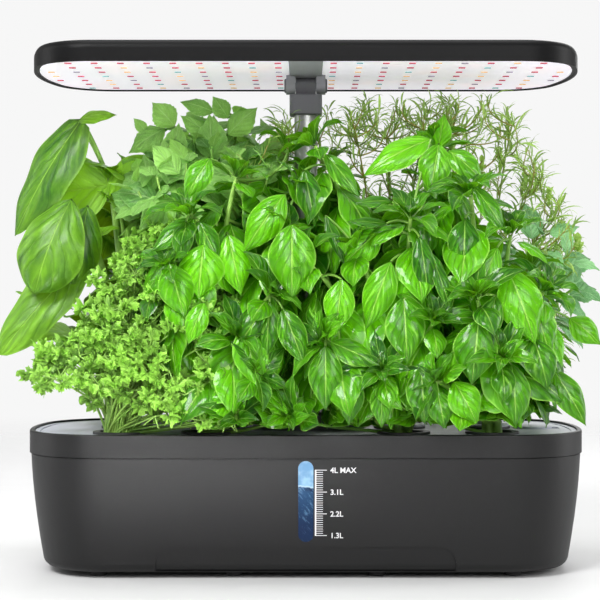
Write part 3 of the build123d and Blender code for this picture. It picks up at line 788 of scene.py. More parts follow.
def walk_back(path: np.ndarray, distances: Iterable[float]) -> List[Tuple[np.ndarray, np.ndarray]]:
    """Places on a path, counted back from its end.

    Args:
        path: the points.
        distances: how far back each place is.

    Returns:
        (place, way the path runs there) pairs, without those before the path's start.
    """
    lengths = np.concatenate([[0], np.cumsum(np.linalg.norm(np.diff(path, axis=0), axis=1))])
    ways = np.gradient(path, axis=0)
    found = []
    for distance in distances:
        at = lengths[-1] - distance
        if at > 0:
            spot, way = (
                np.array([np.interp(at, lengths, row[:, k]) for k in range(3)]) for row in (path, ways))
            found.append((spot, unit(way)))
    return found


def add_stem(
    growth: Growth, path: np.ndarray, thick: float, thin: float, tint: float, sides: int = 6
) -> None:
    """Adds a tapering stem along a path.

    Args:
        growth: the mesh to add to.
        path: its centre line.
        thick: the radius at the start.
        thin: the radius at the end.
        tint: its shade.
        sides: how many sides it has.
    """
    count = len(path)
    ways = np.gradient(path, axis=0)
    rings, marks = [], []
    side = unit(np.cross(ways[0], (0.3, 1.0, 0.1)))
    turns = np.linspace(0, 2 * np.pi, sides, endpoint=False)
    around = turns / STEM_TURN
    for index, radius in enumerate(np.linspace(thick, thin, count)):
        way = unit(ways[index])
        side = unit(side - way * float(np.dot(side, way)))
        spokes = np.cos(turns)[:, None] * side + np.sin(turns)[:, None] * np.cross(way, side)
        rings.append(path[index] + radius * spokes)
        marks.append(np.stack([around, np.full(sides, index / count), np.full(sides, tint)], axis=1))
    growth.add(np.concatenate(rings), grid_faces(count, sides, closed=True), np.concatenate(marks), 1)


@dataclass(frozen=True)
class LeafForm:
    """The shape of one kind of simple leaf, in metres and degrees."""

    length: float
    width: float
    widest: float = 0.42
    point: float = 1.0
    droop: float = 45.0
    cup: float = 0.25
    roll: float = 0.25
    ruffle: float = 0.03
    teeth: int = 0
    tooth_depth: float = 0.0
    twist: float = 8.0
    petiole: float = 0.12
    pillow: float = 0.0
    veins: float = 5.0
    slant: float = 2.4
    blunt: float = 0.90
    rows: int = 11
    columns: int = 9

    def outline(self, along: np.ndarray) -> np.ndarray:
        """Half the width at places along the leaf.

        Args:
            along: places from 0 at the base to 1 at the tip.

        Returns:
            Half widths in metres.
        """
        lean = math.log(0.5) / math.log(self.widest)
        arch = np.sin(np.pi * np.clip(along, 0, 1) ** lean)
        shape = np.maximum(arch, 0) ** (self.blunt + 0.30 * self.point * along)
        if self.teeth:
            shape = shape * (1 + self.tooth_depth * ((along * self.teeth) % 1.0 - 0.5))
        return shape * self.width / 2

    def blade(self, dice: random.Random) -> Shape:
        """One leaf, from the origin along +Y with its face up.

        Args:
            dice: the source of its small differences.

        Returns:
            Points, quads and (across, along) marks.
        """
        rows = max(self.rows, self.teeth * 2 + 1) if self.teeth else self.rows
        along = np.linspace(0, 1, rows)
        droop = math.radians(self.droop * dice.uniform(0.6, 1.35))
        bend = droop * along ** 1.3 - droop * 0.28
        step = self.length / (rows - 1)
        reach = np.concatenate([[0], np.cumsum(np.cos(bend[:-1]) * step)])
        rise = np.concatenate([[0], -np.cumsum(np.sin(bend[:-1]) * step)])
        cup = self.cup * dice.uniform(0.5, 1.4)
        wave, phase = dice.uniform(2.0, 3.2), dice.uniform(0, TURN)
        grid_u, grid_t = np.meshgrid(np.linspace(-1, 1, self.columns), along)
        half = self.outline(along)[:, None]
        side = grid_u * half
        lift = half * (cup * abs(grid_u) - self.roll * grid_u ** 2 * (0.6 + 0.8 * grid_t))
        lift = lift + self.ruffle * self.length * grid_u ** 2 * np.sin(grid_t * wave * TURN + phase + grid_u)
        swell = np.sin(np.pi * ((grid_t * self.veins - abs(grid_u) * self.slant + 20) % 1.0))
        lift = lift + self.pillow * half * swell * np.sin(np.pi * np.clip(abs(grid_u), 0, 1)) ** 0.8
        turn = math.radians(self.twist * dice.uniform(-1, 1)) * grid_t
        normal_y, normal_z = np.sin(bend)[:, None], np.cos(bend)[:, None]
        local_side = side * np.cos(turn) - lift * np.sin(turn)
        local_lift = side * np.sin(turn) + lift * np.cos(turn)
        ahead = self.length * self.petiole + reach[:, None] + local_lift * normal_y
        points = np.stack([local_side, ahead, rise[:, None] + local_lift * normal_z], axis=-1)
        marks = np.stack([grid_u, grid_t], axis=-1).reshape(-1, 2)
        return points.reshape(-1, 3), grid_faces(rows, self.columns), marks


@dataclass(frozen=True)
class Room:
    """Where leaves may be, in metres: over the rim, under the tilting lamp and clear of what stands on the
    deck, which is the pole, the control housing, the caps and the spare pods' way up.
    """

    ceiling: float = 0.3155
    slope: float = 0.27
    slope_end: float = 0.08
    floor: float = 0.0925
    reach: Tuple[float, float] = (0.211, 0.1025)
    pole: float = 0.0128
    head: Tuple[float, float] = (0.0158, 0.288)
    housing: Tuple[float, float, float] = (0.0395, 0.0255, 0.1045)
    caps: Tuple[float, float] = (0.018, 0.0965)
    spares: Tuple[float, ...] = (0.062, 0.118)
    spare_way: Tuple[float, float] = (0.0185, 0.158)

    def top(self, y: float) -> float:
        """The highest a leaf may reach at a place from front to back, in metres."""
        return self.ceiling - self.slope * min(abs(y), self.slope_end)

    def holds(self, points: np.ndarray) -> bool:
        """Whether a leaf stays clear of the hard parts.

        Args:
            points: its vertices.

        Returns:
            True if all of them are in free room.
        """
        x, y, z = np.abs(points[:, 0]), np.abs(points[:, 1]), points[:, 2]
        out = z > self.ceiling - self.slope * np.minimum(y, self.slope_end)
        out |= (z < self.floor) | (x > self.reach[0]) | (y > self.reach[1])
        out |= (x < self.pole) & (y < self.pole)
        out |= (x < self.head[0]) & (y < self.head[0]) & (z > self.head[1])
        out |= (x < self.housing[0]) & (y < self.housing[1]) & (z < self.housing[2])
        out |= (y < self.caps[0]) & (z < self.caps[1])
        for pod in self.spares:
            out |= ((x - pod) ** 2 + y ** 2 < self.spare_way[0] ** 2) & (z < self.spare_way[1])
        return not bool(out.any())


ROOM = Room()


class LeafKind:
    """A few ready variants of one leaf form, to be placed many times."""

    tries: int = 4
    shrink: float = 0.86
    middle: float = 0.2
    lean_up: float = 0.45
    lean_down: float = -0.3

    def __init__(self, form: LeafForm, seed: int, variants: int = 6) -> None:
        """Args:
            form: the shape.
            seed: what the differences start from.
            variants: how many are made.
        """
        dice = random.Random(seed)
        self.ready = [form.blade(dice) for _ in range(variants)]

    def place(
        self, growth: Growth, base: np.ndarray, along: np.ndarray, up: np.ndarray, size: float, tint: float,
        dice: random.Random,
    ) -> None:
        """Adds one leaf. Without room it is tried again smaller, and turned up near the rim or else down.

        Args:
            growth: the mesh to add to.
            base: where its stalk starts.
            along: the way it points.
            up: roughly the way its face looks.
            size: a factor on the form's size.
            tint: 0 for the deepest colour, 1 for the brightest.
            dice: picks the variant.
        """
        lean = self.lean_up if base[2] < self.middle else self.lean_down
        for _ in range(self.tries):
            points, faces, marks = dice.choice(self.ready)
            turned = base + size * turned_to(points, along, up)
            if ROOM.holds(turned):
                growth.add_leaf(turned, faces, marks, tint)
                return
            size, along = size * self.shrink, unit(along) + raised(lean)


# ---------------------------------------------------------------- herbs
DECK_TOP = 0.0890
POD_X = (-0.118, -0.062, 0.062, 0.118)
POD_Y = {"front": -0.046, "back": 0.046}
Line = Sequence[Tuple[float, float]]
Point = Tuple[float, float, float]


@dataclass(frozen=True)
class Shoot:
    """One growing tip, in millimetres."""

    x: float
    y: float
    z: float
    size: float = 1.0

    @property
    def tip(self) -> np.ndarray:
        """Its place in metres."""
        return np.array([self.x, self.y, self.z]) * MM


@dataclass(frozen=True)
class Blade:
    """One listed leaf, in millimetres and degrees."""

    base: Point
    tip: Point
    width: float
    tint: float = 0.6
    face: Point = (0.0, -1.0, 0.35)
    droop: float = 38.0
    widest: float = 0.43
    blunt: float = 0.90
    roll: float = 0.55
    point: float = 1.0

    def form(self, span: float, teeth: int) -> LeafForm:
        """Its shape, for a length in metres and so many teeth."""
        return LeafForm(
            span, self.width * MM, self.widest, self.point, self.droop, cup=0.28, roll=self.roll,
            ruffle=0.014, teeth=teeth, tooth_depth=0.13, twist=5.0, petiole=0.0, pillow=0.035,
            blunt=self.blunt, rows=31, columns=15)


@dataclass(frozen=True)
class Bed:
    """The room that one bush fills, in millimetres: its top line, its foot line and its outer face."""

    top: Line
    low_y: float
    high_y: float
    inner_y: float
    foot: Line = ((-300.0, 98.0), (300.0, 98.0))
    tries: int = 1500

    def spots(
        self, dice: random.Random, gap: float, depths: Sequence[float], keep_off: Line = ()
    ) -> List[Tuple[np.ndarray, np.ndarray, float]]:
        """Evenly scattered places on and behind the outer face and on the top.

        Args:
            dice: what scatters them.
            gap: the least distance between two, in millimetres.
            depths: how deep each layer lies, in millimetres.
            keep_off: (x, z) places that the first layer leaves free.

        Returns:
            (place, way outwards, depth) of each, in metres.
        """
        outwards = math.copysign(1.0, self.low_y)
        left, right = self.top[0][0], self.top[-1][0]
        shelf = abs(self.high_y - self.inner_y)
        found = []
        for depth in depths:
            taken = [(x, z - self.at(self.foot, x)) for x, z in keep_off] if depth == depths[0] else []
            for _ in range(self.tries):
                x = dice.uniform(left, right)
                foot = self.at(self.foot, x)
                rise = max(self.at(self.top, x) - foot, 5.0)
                walk = dice.uniform(0, rise + shelf)
                if any((x - a) ** 2 + (walk - b) ** 2 < gap ** 2 for a, b in taken):
                    continue
                taken.append((x, walk))
                share = min(1.0, walk / rise)
                y = self.low_y + (self.high_y - self.low_y) * share ** 2 - outwards * max(0.0, walk - rise)
                edge = (2 * x - left - right) / (right - left)
                side = 0.7 * edge ** 3 + dice.uniform(-0.15, 0.15)
                way = unit((side, outwards * (1 - 0.75 * share), 0.45 + 0.8 * share))
                place = np.array([x, y - outwards * depth, foot + rise * share]) * MM
                place[2] = min(place[2], ROOM.top(place[1]) - 0.004) - depth * MM * 0.35 * share
                found.append((place, way, depth))
        return found

    @staticmethod
    def at(line: Line, x: float) -> float:
        """The height at x of a line of (x, z) points from left to right, in millimetres."""
        return float(np.interp(x, *zip(*line)))


@dataclass
class Herb:
    """A herb that stands in one pod and takes the place of its CAD stand-in."""

    node: str
    leaf: bpy.types.Material
    stem: bpy.types.Material
    seed: int
    bed: Optional[Bed] = None
    shoots: Sequence[Shoot] = ()
    blades: Sequence[Blade] = ()
    growth: Growth = field(default_factory=Growth)
    mains: List[np.ndarray] = field(default_factory=list)
    stalk: float = 0.0007
    blade_teeth: int = 0

    def __post_init__(self) -> None:
        """Finds the pod's middle and starts the dice."""
        self.dice = random.Random(self.seed)
        row, column = self.node.split("_")[1:]
        self.root = np.array([POD_X[int(column) - 1], POD_Y[row], DECK_TOP])

    def kept_off(self) -> Line:
        """(x, z) of the shoots and of the middles of the listed leaves, in millimetres.
            (x, z) of the shoots and of the middles of the hand-placed leaves, in millimetres.
        """
        middles = [((b.base[0] + b.tip[0]) / 2, (b.base[2] + b.tip[2]) / 2) for b in self.blades]
        return [(shoot.x, shoot.z) for shoot in self.shoots] + middles

    def near(self, amount: float) -> np.ndarray:
        """A random offset whose parts are at most the amount, in metres."""
        return np.array([self.dice.uniform(-amount, amount) for _ in range(3)])

    def foot(self, amount: float) -> np.ndarray:
        """A random place on the pod, at most the amount from its middle along X and Y."""
        return self.root + self.near(amount) * np.array([1, 1, 0])

    def tint(self, middle: float, spread: float = 0.2) -> float:
        """A random shade round a middle one."""
        return self.dice.gauss(middle, spread)

    def main_stem(self, tip: np.ndarray, thick: float, thin: float) -> np.ndarray:
        """Adds a stem from the pod, straight up at first.

        Args:
            tip: where it ends.
            thick: its radius at the pod.
            thin: its radius at the end.

        Returns:
            Its path.
        """
        start = self.foot(0.0045)
        pull = np.array([
            start[0] * 0.55 + tip[0] * 0.45, start[1] * 0.80 + tip[1] * 0.20, tip[2] * 0.80 + 0.012])
        path = bezier(start, pull, tip, 24)
        add_stem(self.growth, path, thick, thin, self.dice.random(), 8)
        self.mains.append(path)
        return path

    def branch(self, tip: np.ndarray, way: np.ndarray, thick: float, thin: float) -> np.ndarray:
        """Adds a side stem from the nearest lower place on a main stem, or from the pod.

        Args:
            tip: where it ends.
            way: the way it runs there.
            thick: its radius at the start.
            thin: its radius at the end.

        Returns:
            Its path.
        """
        start = self.foot(0.005)
        length = float(np.linalg.norm(tip - start))
        for path in self.mains:
            lower = path[path[:, 2] < tip[2] - 0.012]
            if len(lower):
                gaps = np.linalg.norm(lower - tip, axis=1)
                if gaps.min() < length:
                    length, start = float(gaps.min()), lower[int(gaps.argmin())]
        pull = tip - unit(way) * length * 0.45
        pull[2] = max(pull[2], DECK_TOP + 0.004)
        path = bezier(start, pull, tip, 12)
        add_stem(self.growth, path, thick, thin, self.dice.random(), 5)
        return path

    def place_blades(self) -> None:
        """Adds the listed leaves."""
        for blade in self.blades:
            base, tip = np.array(blade.base) * MM, np.array(blade.tip) * MM
            span = float(np.linalg.norm(tip - base))
            form = blade.form(span, self.blade_teeth)
            points, faces, marks = form.blade(self.dice)
            end = points[-form.columns:].mean(axis=0)
            lean = math.atan2(end[2], end[1])
            level = points.copy()
            level[:, 1] = points[:, 1] * math.cos(lean) + points[:, 2] * math.sin(lean)
            level[:, 2] = points[:, 2] * math.cos(lean) - points[:, 1] * math.sin(lean)
            level *= span / float(np.linalg.norm(end[1:]))
            turned = base + turned_to(level, tip - base, np.array(blade.face))
            if not ROOM.holds(turned):
                LOG.info("%s: a leaf from %s leaves its room", self.node, blade.base)
            near = np.concatenate([path[4:] for path in self.mains])
            joint = near[int(np.linalg.norm(near - base, axis=1).argmin())]
            pull = (joint + base) / 2 + np.array([0, 0.004, 0.004])
            add_stem(self.growth, bezier(joint, pull, base, 9), self.stalk * 1.3, self.stalk, 0.35)
            self.growth.add_leaf(turned, faces, marks, blade.tint)

    def grow(self) -> None:
        """Adds the herb's stems and leaves."""
        raise NotImplementedError

    def build(self) -> bpy.types.Object:
        """Grows the herb and sets it on its pod.

        Returns:
            The herb's object.
        """
        self.grow()
        self.place_blades()
        name = self.node.replace("herb", type(self).__name__.lower())
        made = self.growth.finish(name, [self.leaf, self.stem])
        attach(made, "deck")
        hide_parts(self.node)
        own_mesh(made)
        return made


@dataclass
class SweetBasil(Herb):
    """Bushy basil: crossed pairs of glossy leaves that hang below a tight rosette."""

    leaf_length: float = 47.0
    leaf_width: float = 29.0
    gap: float = 29.0
    depths: Tuple[float, ...] = (7.0, 22.0, 40.0)

    def grow(self) -> None:
        """Adds the listed shoots and then fills the bed."""
        length, width = self.leaf_length * MM, self.leaf_width * MM
        wide = LeafKind(
            LeafForm(length, width, 0.43, droop=50, cup=0.36, roll=0.52, ruffle=0.018, pillow=0.035, rows=17,
                     petiole=0.16), self.seed + 1, 10)
        plain = LeafKind(
            LeafForm(length, width, 0.43, droop=48, cup=0.30, roll=0.40, ruffle=0.02, rows=9, columns=5,
                     petiole=0.16), self.seed + 2)
        small = LeafKind(
            LeafForm(length * 0.56, width * 0.38, 0.44, droop=78, cup=0.75, ruffle=0.02, rows=10, columns=5),
            self.seed + 3)
        for shoot in self.shoots:
            path = self.main_stem(shoot.tip, 0.0026, 0.0012)
            self.dress_shoot(path, wide, small, shoot.size, 4, 12)
        for place, way, depth in self.bed.spots(self.dice, self.gap, self.depths, self.kept_off()):
            path = self.branch(place, way, 0.0013, 0.0009)
            kind, rosette = (wide, 7) if depth == self.depths[0] else (plain, 0)
            # deeper fill shoots get a lower tint: painted shade inside the bush
            self.dress_shoot(path, kind, small, self.dice.uniform(0.80, 1.15), 3, rosette, -0.012 * depth)

    def dress_shoot(
        self, path: np.ndarray, wide: LeafKind, small: LeafKind, size: float, pairs: int, rosette: int,
        shade: float = 0.0,
    ) -> None:
        """Adds the leaves of one shoot.

        Args:
            path: its stem.
            wide: the full-grown leaves.
            small: the leaves at the tip.
            size: a factor on their size.
            pairs: how many pairs hang below the tip.
            rosette: how many small leaves stand at the tip.
            shade: what is added to every leaf's tint; the filling shoots get a painted shade that is darker
                the deeper they lie.
        """
        dice = self.dice
        turn = dice.uniform(0, TURN)
        steps = [(2.0 + 10.5 * k) * MM * size for k in range(pairs)]
        for k, (spot, way) in enumerate(walk_back(path, steps)):
            turn += math.pi / 2 + dice.uniform(-0.3, 0.3)
            grown = (0.55, 0.86, 1.02, 1.05)[min(k, 3)]
            for flip in (0.0, math.pi):
                out = round_stem(way, turn + flip + dice.uniform(-0.25, 0.25))
                along = out + way * (0.50 - 0.32 * k) + raised(-0.80 - 0.40 * k) + self.near(0.2)
                face = way + out * 0.45 + raised(0.25)
                tint = self.tint(0.40 + 0.13 * k, 0.24) + shade
                wide.place(self.growth, spot, along, face, size * grown * dice.uniform(0.85, 1.1), tint, dice)
        tip, way = path[-1], unit(path[-1] - path[-3])
        for step in range(rosette):
            out = round_stem(way, turn + step * LEAF_TURN)
            along, face = out + way * (0.15 + 0.14 * step), way + out * 0.2
            small.place(self.growth, tip, along, face, size * (1.1 - 0.065 * step), self.tint(0.15), dice)


@dataclass
class BroadBasil(Herb):
    """Large-leaved basil: a few big hanging leaves on thick stalks."""

    stalk: float = 0.0012

    def grow(self) -> None:
        """Adds the main stems, small leaves at their tips and leaves behind."""
        dice = self.dice
        small = LeafKind(LeafForm(0.020, 0.011, droop=40, cup=0.4, pillow=0.05), self.seed + 3, 5)
        for shoot in self.shoots:
            path = self.main_stem(shoot.tip, 0.0030, 0.0021)
            for step in range(5):
                angle = step * LEAF_TURN + dice.random()
                out, face = np.array([math.cos(angle), math.sin(angle), 0.5]), np.array([0, -0.6, 1.0])
                small.place(self.growth, path[-1], out, face, shoot.size, self.tint(0.7), dice)
        plain = LeafKind(
            LeafForm(0.052, 0.034, droop=45, cup=0.25, roll=0.5, pillow=0.035, rows=17), self.seed + 4, 5)
        for place, way, depth in self.bed.spots(dice, 30.0, (0.0, 22.0)):
            path = self.branch(place, way, 0.0018, 0.0012)
            for turn in range(4):
                angle = turn * 1.6 + dice.random()
                along = way + np.array([math.cos(angle), 0.6 * math.sin(angle), -0.5])
                face, size = way + raised(0.6), dice.uniform(0.6, 1.0)
                plain.place(self.growth, path[-1 - turn], along, face, size, self.tint(0.5), dice)


@dataclass
class Parsley(Herb):
    """A mound of curly parsley on many thin pale stalks."""

    gap: float = 13.5
    depths: Tuple[float, ...] = (0.0, 11.0, 25.0)
    leaflet_size: float = 5.4
    spread: float = 1.25

    def leaflet(self, spokes: int) -> Shape:
        """One five-lobed, toothed and curled leaflet from the origin along +Y.

        Args:
            spokes: how many points its edge has.

        Returns:
            Points, quads and marks.
        """
        dice, rings = self.dice, 3
        turns = np.linspace(-2.45, 2.45, spokes)
        lobes = 0.34 + 0.66 * np.abs(np.cos(turns * 3.0)) ** 0.7 * (1 - 0.06 * turns ** 2)
        notches = 1 + 0.16 * np.cos(turns * 18.0 + dice.uniform(-0.5, 0.5))
        radius = self.leaflet_size * MM * lobes * notches
        phase, curl = dice.uniform(0, TURN), dice.uniform(-40.0, 90.0)
        points, marks = [], []
        for share in np.linspace(0, 1, rings):
            out = radius * share
            wave = 0.0024 * share ** 1.3 * np.sin(turns * 3.2 + phase) + 0.0012 * share * np.cos(turns * 6.0)
            ahead = 0.002 + np.cos(turns) * out
            points.append(np.stack([np.sin(turns) * out, ahead, wave - curl * out ** 2], axis=1))
            marks.append(np.stack([np.cos(turns * 3.0), np.full(spokes, share)], axis=1))
        return np.concatenate(points), grid_faces(rings, spokes), np.concatenate(marks)

    def grow(self) -> None:
        """Adds every stalk with its three-part leaf."""
        dice = self.dice
        fine, plain = [self.leaflet(43) for _ in range(9)], [self.leaflet(22) for _ in range(5)]
        for place, way, depth in self.bed.spots(dice, self.gap, self.depths):
            ready, count = (plain, 3) if depth else (fine, 4)
            start = self.foot(0.009)
            pull = start * 0.75 + place * 0.25
            pull[2] = place[2] * 0.8 + 0.01
            add_stem(self.growth, bezier(start, pull, place, 12), 0.0009, 0.0006, dice.uniform(0.3, 1.0), 5)
            # deeper layers get a lower tint: painted shade inside the mound
            size, shade = dice.uniform(0.8, 1.2), self.tint(0.52, 0.12) - 0.022 * depth
            self.compound_leaf(place, way, ready, count, size, shade)

    def compound_leaf(
        self, top: np.ndarray, way: np.ndarray, ready: List[Shape], count: int, size: float, shade: float
    ) -> None:
        """Adds one leaf of three stalked groups of leaflets.

        Args:
            top: the end of its stalk.
            way: the way outwards.
            ready: leaflets to choose from.
            count: how many leaflets a group has.
            size: a factor on its size.
            shade: its usual tint, with the painted shade of its depth in the mound.
        """
        dice = self.dice
        face = unit(way + self.near(0.45))
        spread = unit(np.cross(face, self.near(1.0)))
        side = np.cross(face, spread)
        for lean in (-self.spread, 0.0, self.spread):
            group = unit(spread * math.cos(lean) + side * math.sin(lean) + face * 0.25)
            end = top + group * 0.0080 * size
            add_stem(self.growth, np.array([top, (top + end) / 2, end]), 0.0005, 0.0004, 0.8, 4)
            across = unit(np.cross(group, face))
            for sub in np.linspace(-self.spread, self.spread, count):
                forward = unit(group * math.cos(sub) + across * math.sin(sub) + self.near(0.35))
                points, faces, marks = dice.choice(ready)
                start = end + forward * dice.uniform(-0.001, 0.0025) * size
                grown = size * dice.uniform(0.8, 1.2)
                placed = start + grown * turned_to(points, forward, face + self.near(0.45))
                if ROOM.holds(placed):
                    self.growth.add_leaf(placed, faces, marks, self.tint(shade, 0.18))


@dataclass
class LemonBalm(Herb):
    """Lemon balm: upright stems with crossed pairs of round, toothed leaves."""

    leaf_length: float = 29.0
    leaf_width: float = 20.0
    gap: float = 21.0
    depths: Tuple[float, ...] = (0.0, 18.0, 36.0, 52.0)
    blade_teeth: int = 8

    def grow(self) -> None:
        """Adds the listed shoots and then fills the bed."""
        kind = LeafKind(
            LeafForm(self.leaf_length * MM, self.leaf_width * MM, droop=36, cup=0.22, roll=0.26, ruffle=0.02,
                     teeth=8, tooth_depth=0.14, petiole=0.25, pillow=0.06, columns=7), self.seed + 1, 8)
        for shoot in self.shoots:
            self.dress_shoot(self.main_stem(shoot.tip, 0.0020, 0.0009), kind, shoot.size, 6)
        if self.bed:
            for place, way, depth in self.bed.spots(self.dice, self.gap, self.depths):
                path = self.branch(place, way, 0.0012, 0.0008)
                self.dress_shoot(path, kind, self.dice.uniform(0.8, 1.1), 3)

    def dress_shoot(self, path: np.ndarray, kind: LeafKind, size: float, pairs: int) -> None:
        """Adds the leaves of one shoot.

        Args:
            path: its stem.
            kind: its leaves.
            size: a factor on their size.
            pairs: how many pairs it has.
        """
        dice = self.dice
        turn = dice.uniform(0, TURN)
        inwards = math.copysign(0.35, self.root[1]) * -1
        steps = [(1.0 + 12.0 * k) * MM for k in range(pairs)]
        for k, (spot, way) in enumerate(walk_back(path, steps)):
            turn += math.pi / 2
            for flip in (0.0, math.pi):
                out = round_stem(way, turn + flip + dice.uniform(-0.3, 0.3))
                along = out + way * (0.8 - 0.3 * k) + raised(-0.08 * k)
                face = way + np.array([0.0, inwards, 0.3]) + self.near(0.35)
                grown = size * (0.55, 0.85, 1.0)[min(k, 2)] * dice.uniform(0.85, 1.15)
                kind.place(self.growth, spot, along, face, grown, self.tint(0.62, 0.4), dice)


@dataclass
class Rosemary(Herb):
    """Fine sprigs with arched needles, and small round-leaved clusters at some tips."""

    needle: float = 18.0
    spacing: float = 4.0
    gap: float = 17.5
    depths: Tuple[float, ...] = (0.0, 18.0, 38.0)
    clothed: float = 0.11
    cluster: int = 16

    def grow(self) -> None:
        """Adds the main sprigs, the side twigs and the clusters."""
        dice = self.dice
        needles = LeafKind(
            LeafForm(self.needle * MM, 1.5 * MM, 0.5, droop=95, cup=0.2, roll=0.2, ruffle=0.0, rows=7,
                     columns=3, twist=50, petiole=0.0), self.seed + 1, 10)
        rounds = LeafKind(
            LeafForm(5.0 * MM, 3.3 * MM, 0.5, droop=25, cup=0.3, roll=0.1, ruffle=0.0, rows=5, columns=3,
                     petiole=0.0), self.seed + 2, 5)
        for place, way, depth in self.bed.spots(dice, self.gap * 2.4, (24.0,)):
            self.clothe(self.main_stem(place, 0.0009, 0.0004), needles, 1.0, 0.75)
        for place, way, depth in self.bed.spots(dice, self.gap, self.depths):
            way = unit(way + self.near(0.7) + raised(0.5))
            self.clothe(self.branch(place, way, 0.0006, 0.0003), needles, dice.uniform(0.75, 1.1), 0.9)
        for shoot in self.shoots:
            path = self.branch(shoot.tip, np.array([0.5, 0, 1.0]), 0.0008, 0.0005)
            self.clothe(path[:-2], needles, 0.6, 0.6)
            for step in range(self.cluster):
                angle, tilt = step * LEAF_TURN, 1.2 - step * 0.13
                along = np.array([math.cos(angle), math.sin(angle), 1.4 - tilt])
                base, face = path[-1] - raised(0.0007 * (self.cluster - step)), np.array([0, -0.3, 1.0])
                size = shoot.size * dice.uniform(0.8, 1.2)
                rounds.place(self.growth, base, along, face, size, self.tint(0.85, 0.1), dice)

    def clothe(self, path: np.ndarray, kind: LeafKind, size: float, share: float) -> None:
        """Adds pairs of needles along a twig.

        Args:
            path: the twig's centre line.
            kind: the needles.
            size: a factor on their size.
            share: how much of the twig carries them.
        """
        dice = self.dice
        length = float(np.linalg.norm(np.diff(path, axis=0), axis=1).sum())
        steps, at = [], 0.0
        while at < min(length * share, self.clothed):
            steps.append(at)
            at += self.spacing * MM * dice.uniform(0.7, 1.3)
        turn = dice.uniform(0, TURN)
        for spot, way in walk_back(path, steps):
            out = round_stem(way, turn)
            for flip in (1, -1):
                along = out * flip + way * dice.uniform(0.5, 1.6) + self.near(0.3)
                face = way * -0.4 + out * flip * -1.0 + raised(0.8) + self.near(0.4)
                grown = size * dice.uniform(0.6, 1.15)
                kind.place(self.growth, spot, along, face, grown, dice.random(), dice)
            turn += 1.9


# ---------------------------------------------------------------- printed gauge
@dataclass
class Gauge:
    """The white scale beside the sight pane, printed on the reservoir's front wall, in millimetres."""

    ink: bpy.types.Material
    top_mark: float = 68.6
    mark_step: float = 13.63
    fine_per_step: int = 10
    bar: Tuple[float, float] = (5.6, 6.5)
    bar_pieces: int = 20
    fine_end: float = 10.6
    fine_half: float = 0.17
    mark_end: float = 13.0
    label_start: float = 15.1
    label_height: float = 3.3
    label_scale: float = 1.42
    label_weight: float = 0.08
    line_height: float = 0.42
    lift: float = 0.05
    labels: Tuple[str, ...] = ("4L MAX", "3.1L", "2.2L", "1.3L")

    def __post_init__(self) -> None:
        """Reads the wall that the ink lies on."""
        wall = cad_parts["reservoir_tub"].data
        corners = [vertex.co.copy() for vertex in wall.vertices]
        self.tree = BVHTree.FromPolygons(corners, [tuple(face.vertices) for face in wall.polygons])

    def on_wall(self, x: float, z: float) -> Point:
        """The wall's point at x and z, with the ink's lift, in metres."""
        hit = self.tree.ray_cast(Vector((x, -0.2, z)), Vector((0, 1, 0)))[0]
        return (x, hit.y - self.lift * MM, z)

    def stroke(self, x: Tuple[float, float], z: Tuple[float, float], pieces: int = 1) -> bpy.types.Mesh:
        """A printed bar, divided upwards so that it follows the wall.

        Args:
            x: left and right, in millimetres.
            z: bottom and top, in millimetres.
            pieces: how many divisions.

        Returns:
            The mesh.
        """
        points = []
        for step in range(pieces + 1):
            height = z[0] + (z[1] - z[0]) * step / pieces
            points.extend(self.on_wall(side * MM, height * MM) for side in x)
        mesh = bpy.data.meshes.new("stroke")
        mesh.from_pydata(points, [], grid_faces(pieces + 1, 2).tolist())
        return mesh

    def label(self, text: str, z: float) -> bpy.types.Mesh:
        """A printed label.

        Args:
            text: what it says.
            z: the height of its middle, in millimetres.

        Returns:
            The mesh.
        """
        curve = bpy.data.curves.new("label", "FONT")
        curve.body = text
        curve.size = self.label_height * self.label_scale * MM
        curve.offset = self.label_weight * MM
        maker = bpy.data.objects.new("label", curve)
        bpy.context.scene.collection.objects.link(maker)
        bpy.context.view_layer.update()
        mesh = bpy.data.meshes.new_from_object(maker.evaluated_get(bpy.context.evaluated_depsgraph_get()))
        bpy.data.objects.remove(maker)
        for vertex in mesh.vertices:
            height = z * MM + vertex.co.y - self.label_height / 2 * MM
            vertex.co = self.on_wall(self.label_start * MM + vertex.co.x, height)
        mesh.materials.clear()
        return mesh

    def build(self) -> List[bpy.types.Object]:
        """Makes the bar, the marks and the labels.

        Returns:
            The printed pieces.
        """
        half = self.line_height / 2
        last = self.top_mark - self.mark_step * (len(self.labels) - 1)
        meshes = {"gauge_bar": self.stroke(self.bar, (last - half, self.top_mark + half), self.bar_pieces)}
        for index, text in enumerate(self.labels):
            z = self.top_mark - self.mark_step * index
            meshes[f"gauge_mark_{index}"] = self.stroke((self.bar[1], self.mark_end), (z - half, z + half))
            meshes[f"gauge_label_{index}"] = self.label(text, z)
        for index in range(self.fine_per_step * (len(self.labels) - 1)):
            if index % self.fine_per_step:
                z = self.top_mark - self.mark_step * index / self.fine_per_step
                height = (z - self.fine_half, z + self.fine_half)
                meshes[f"gauge_tick_{index}"] = self.stroke((self.bar[1], self.fine_end), height)
        made = [link(name, mesh, [self.ink]) for name, mesh in meshes.items()]
        for piece in made:
            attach(piece, "reservoir")
        return made


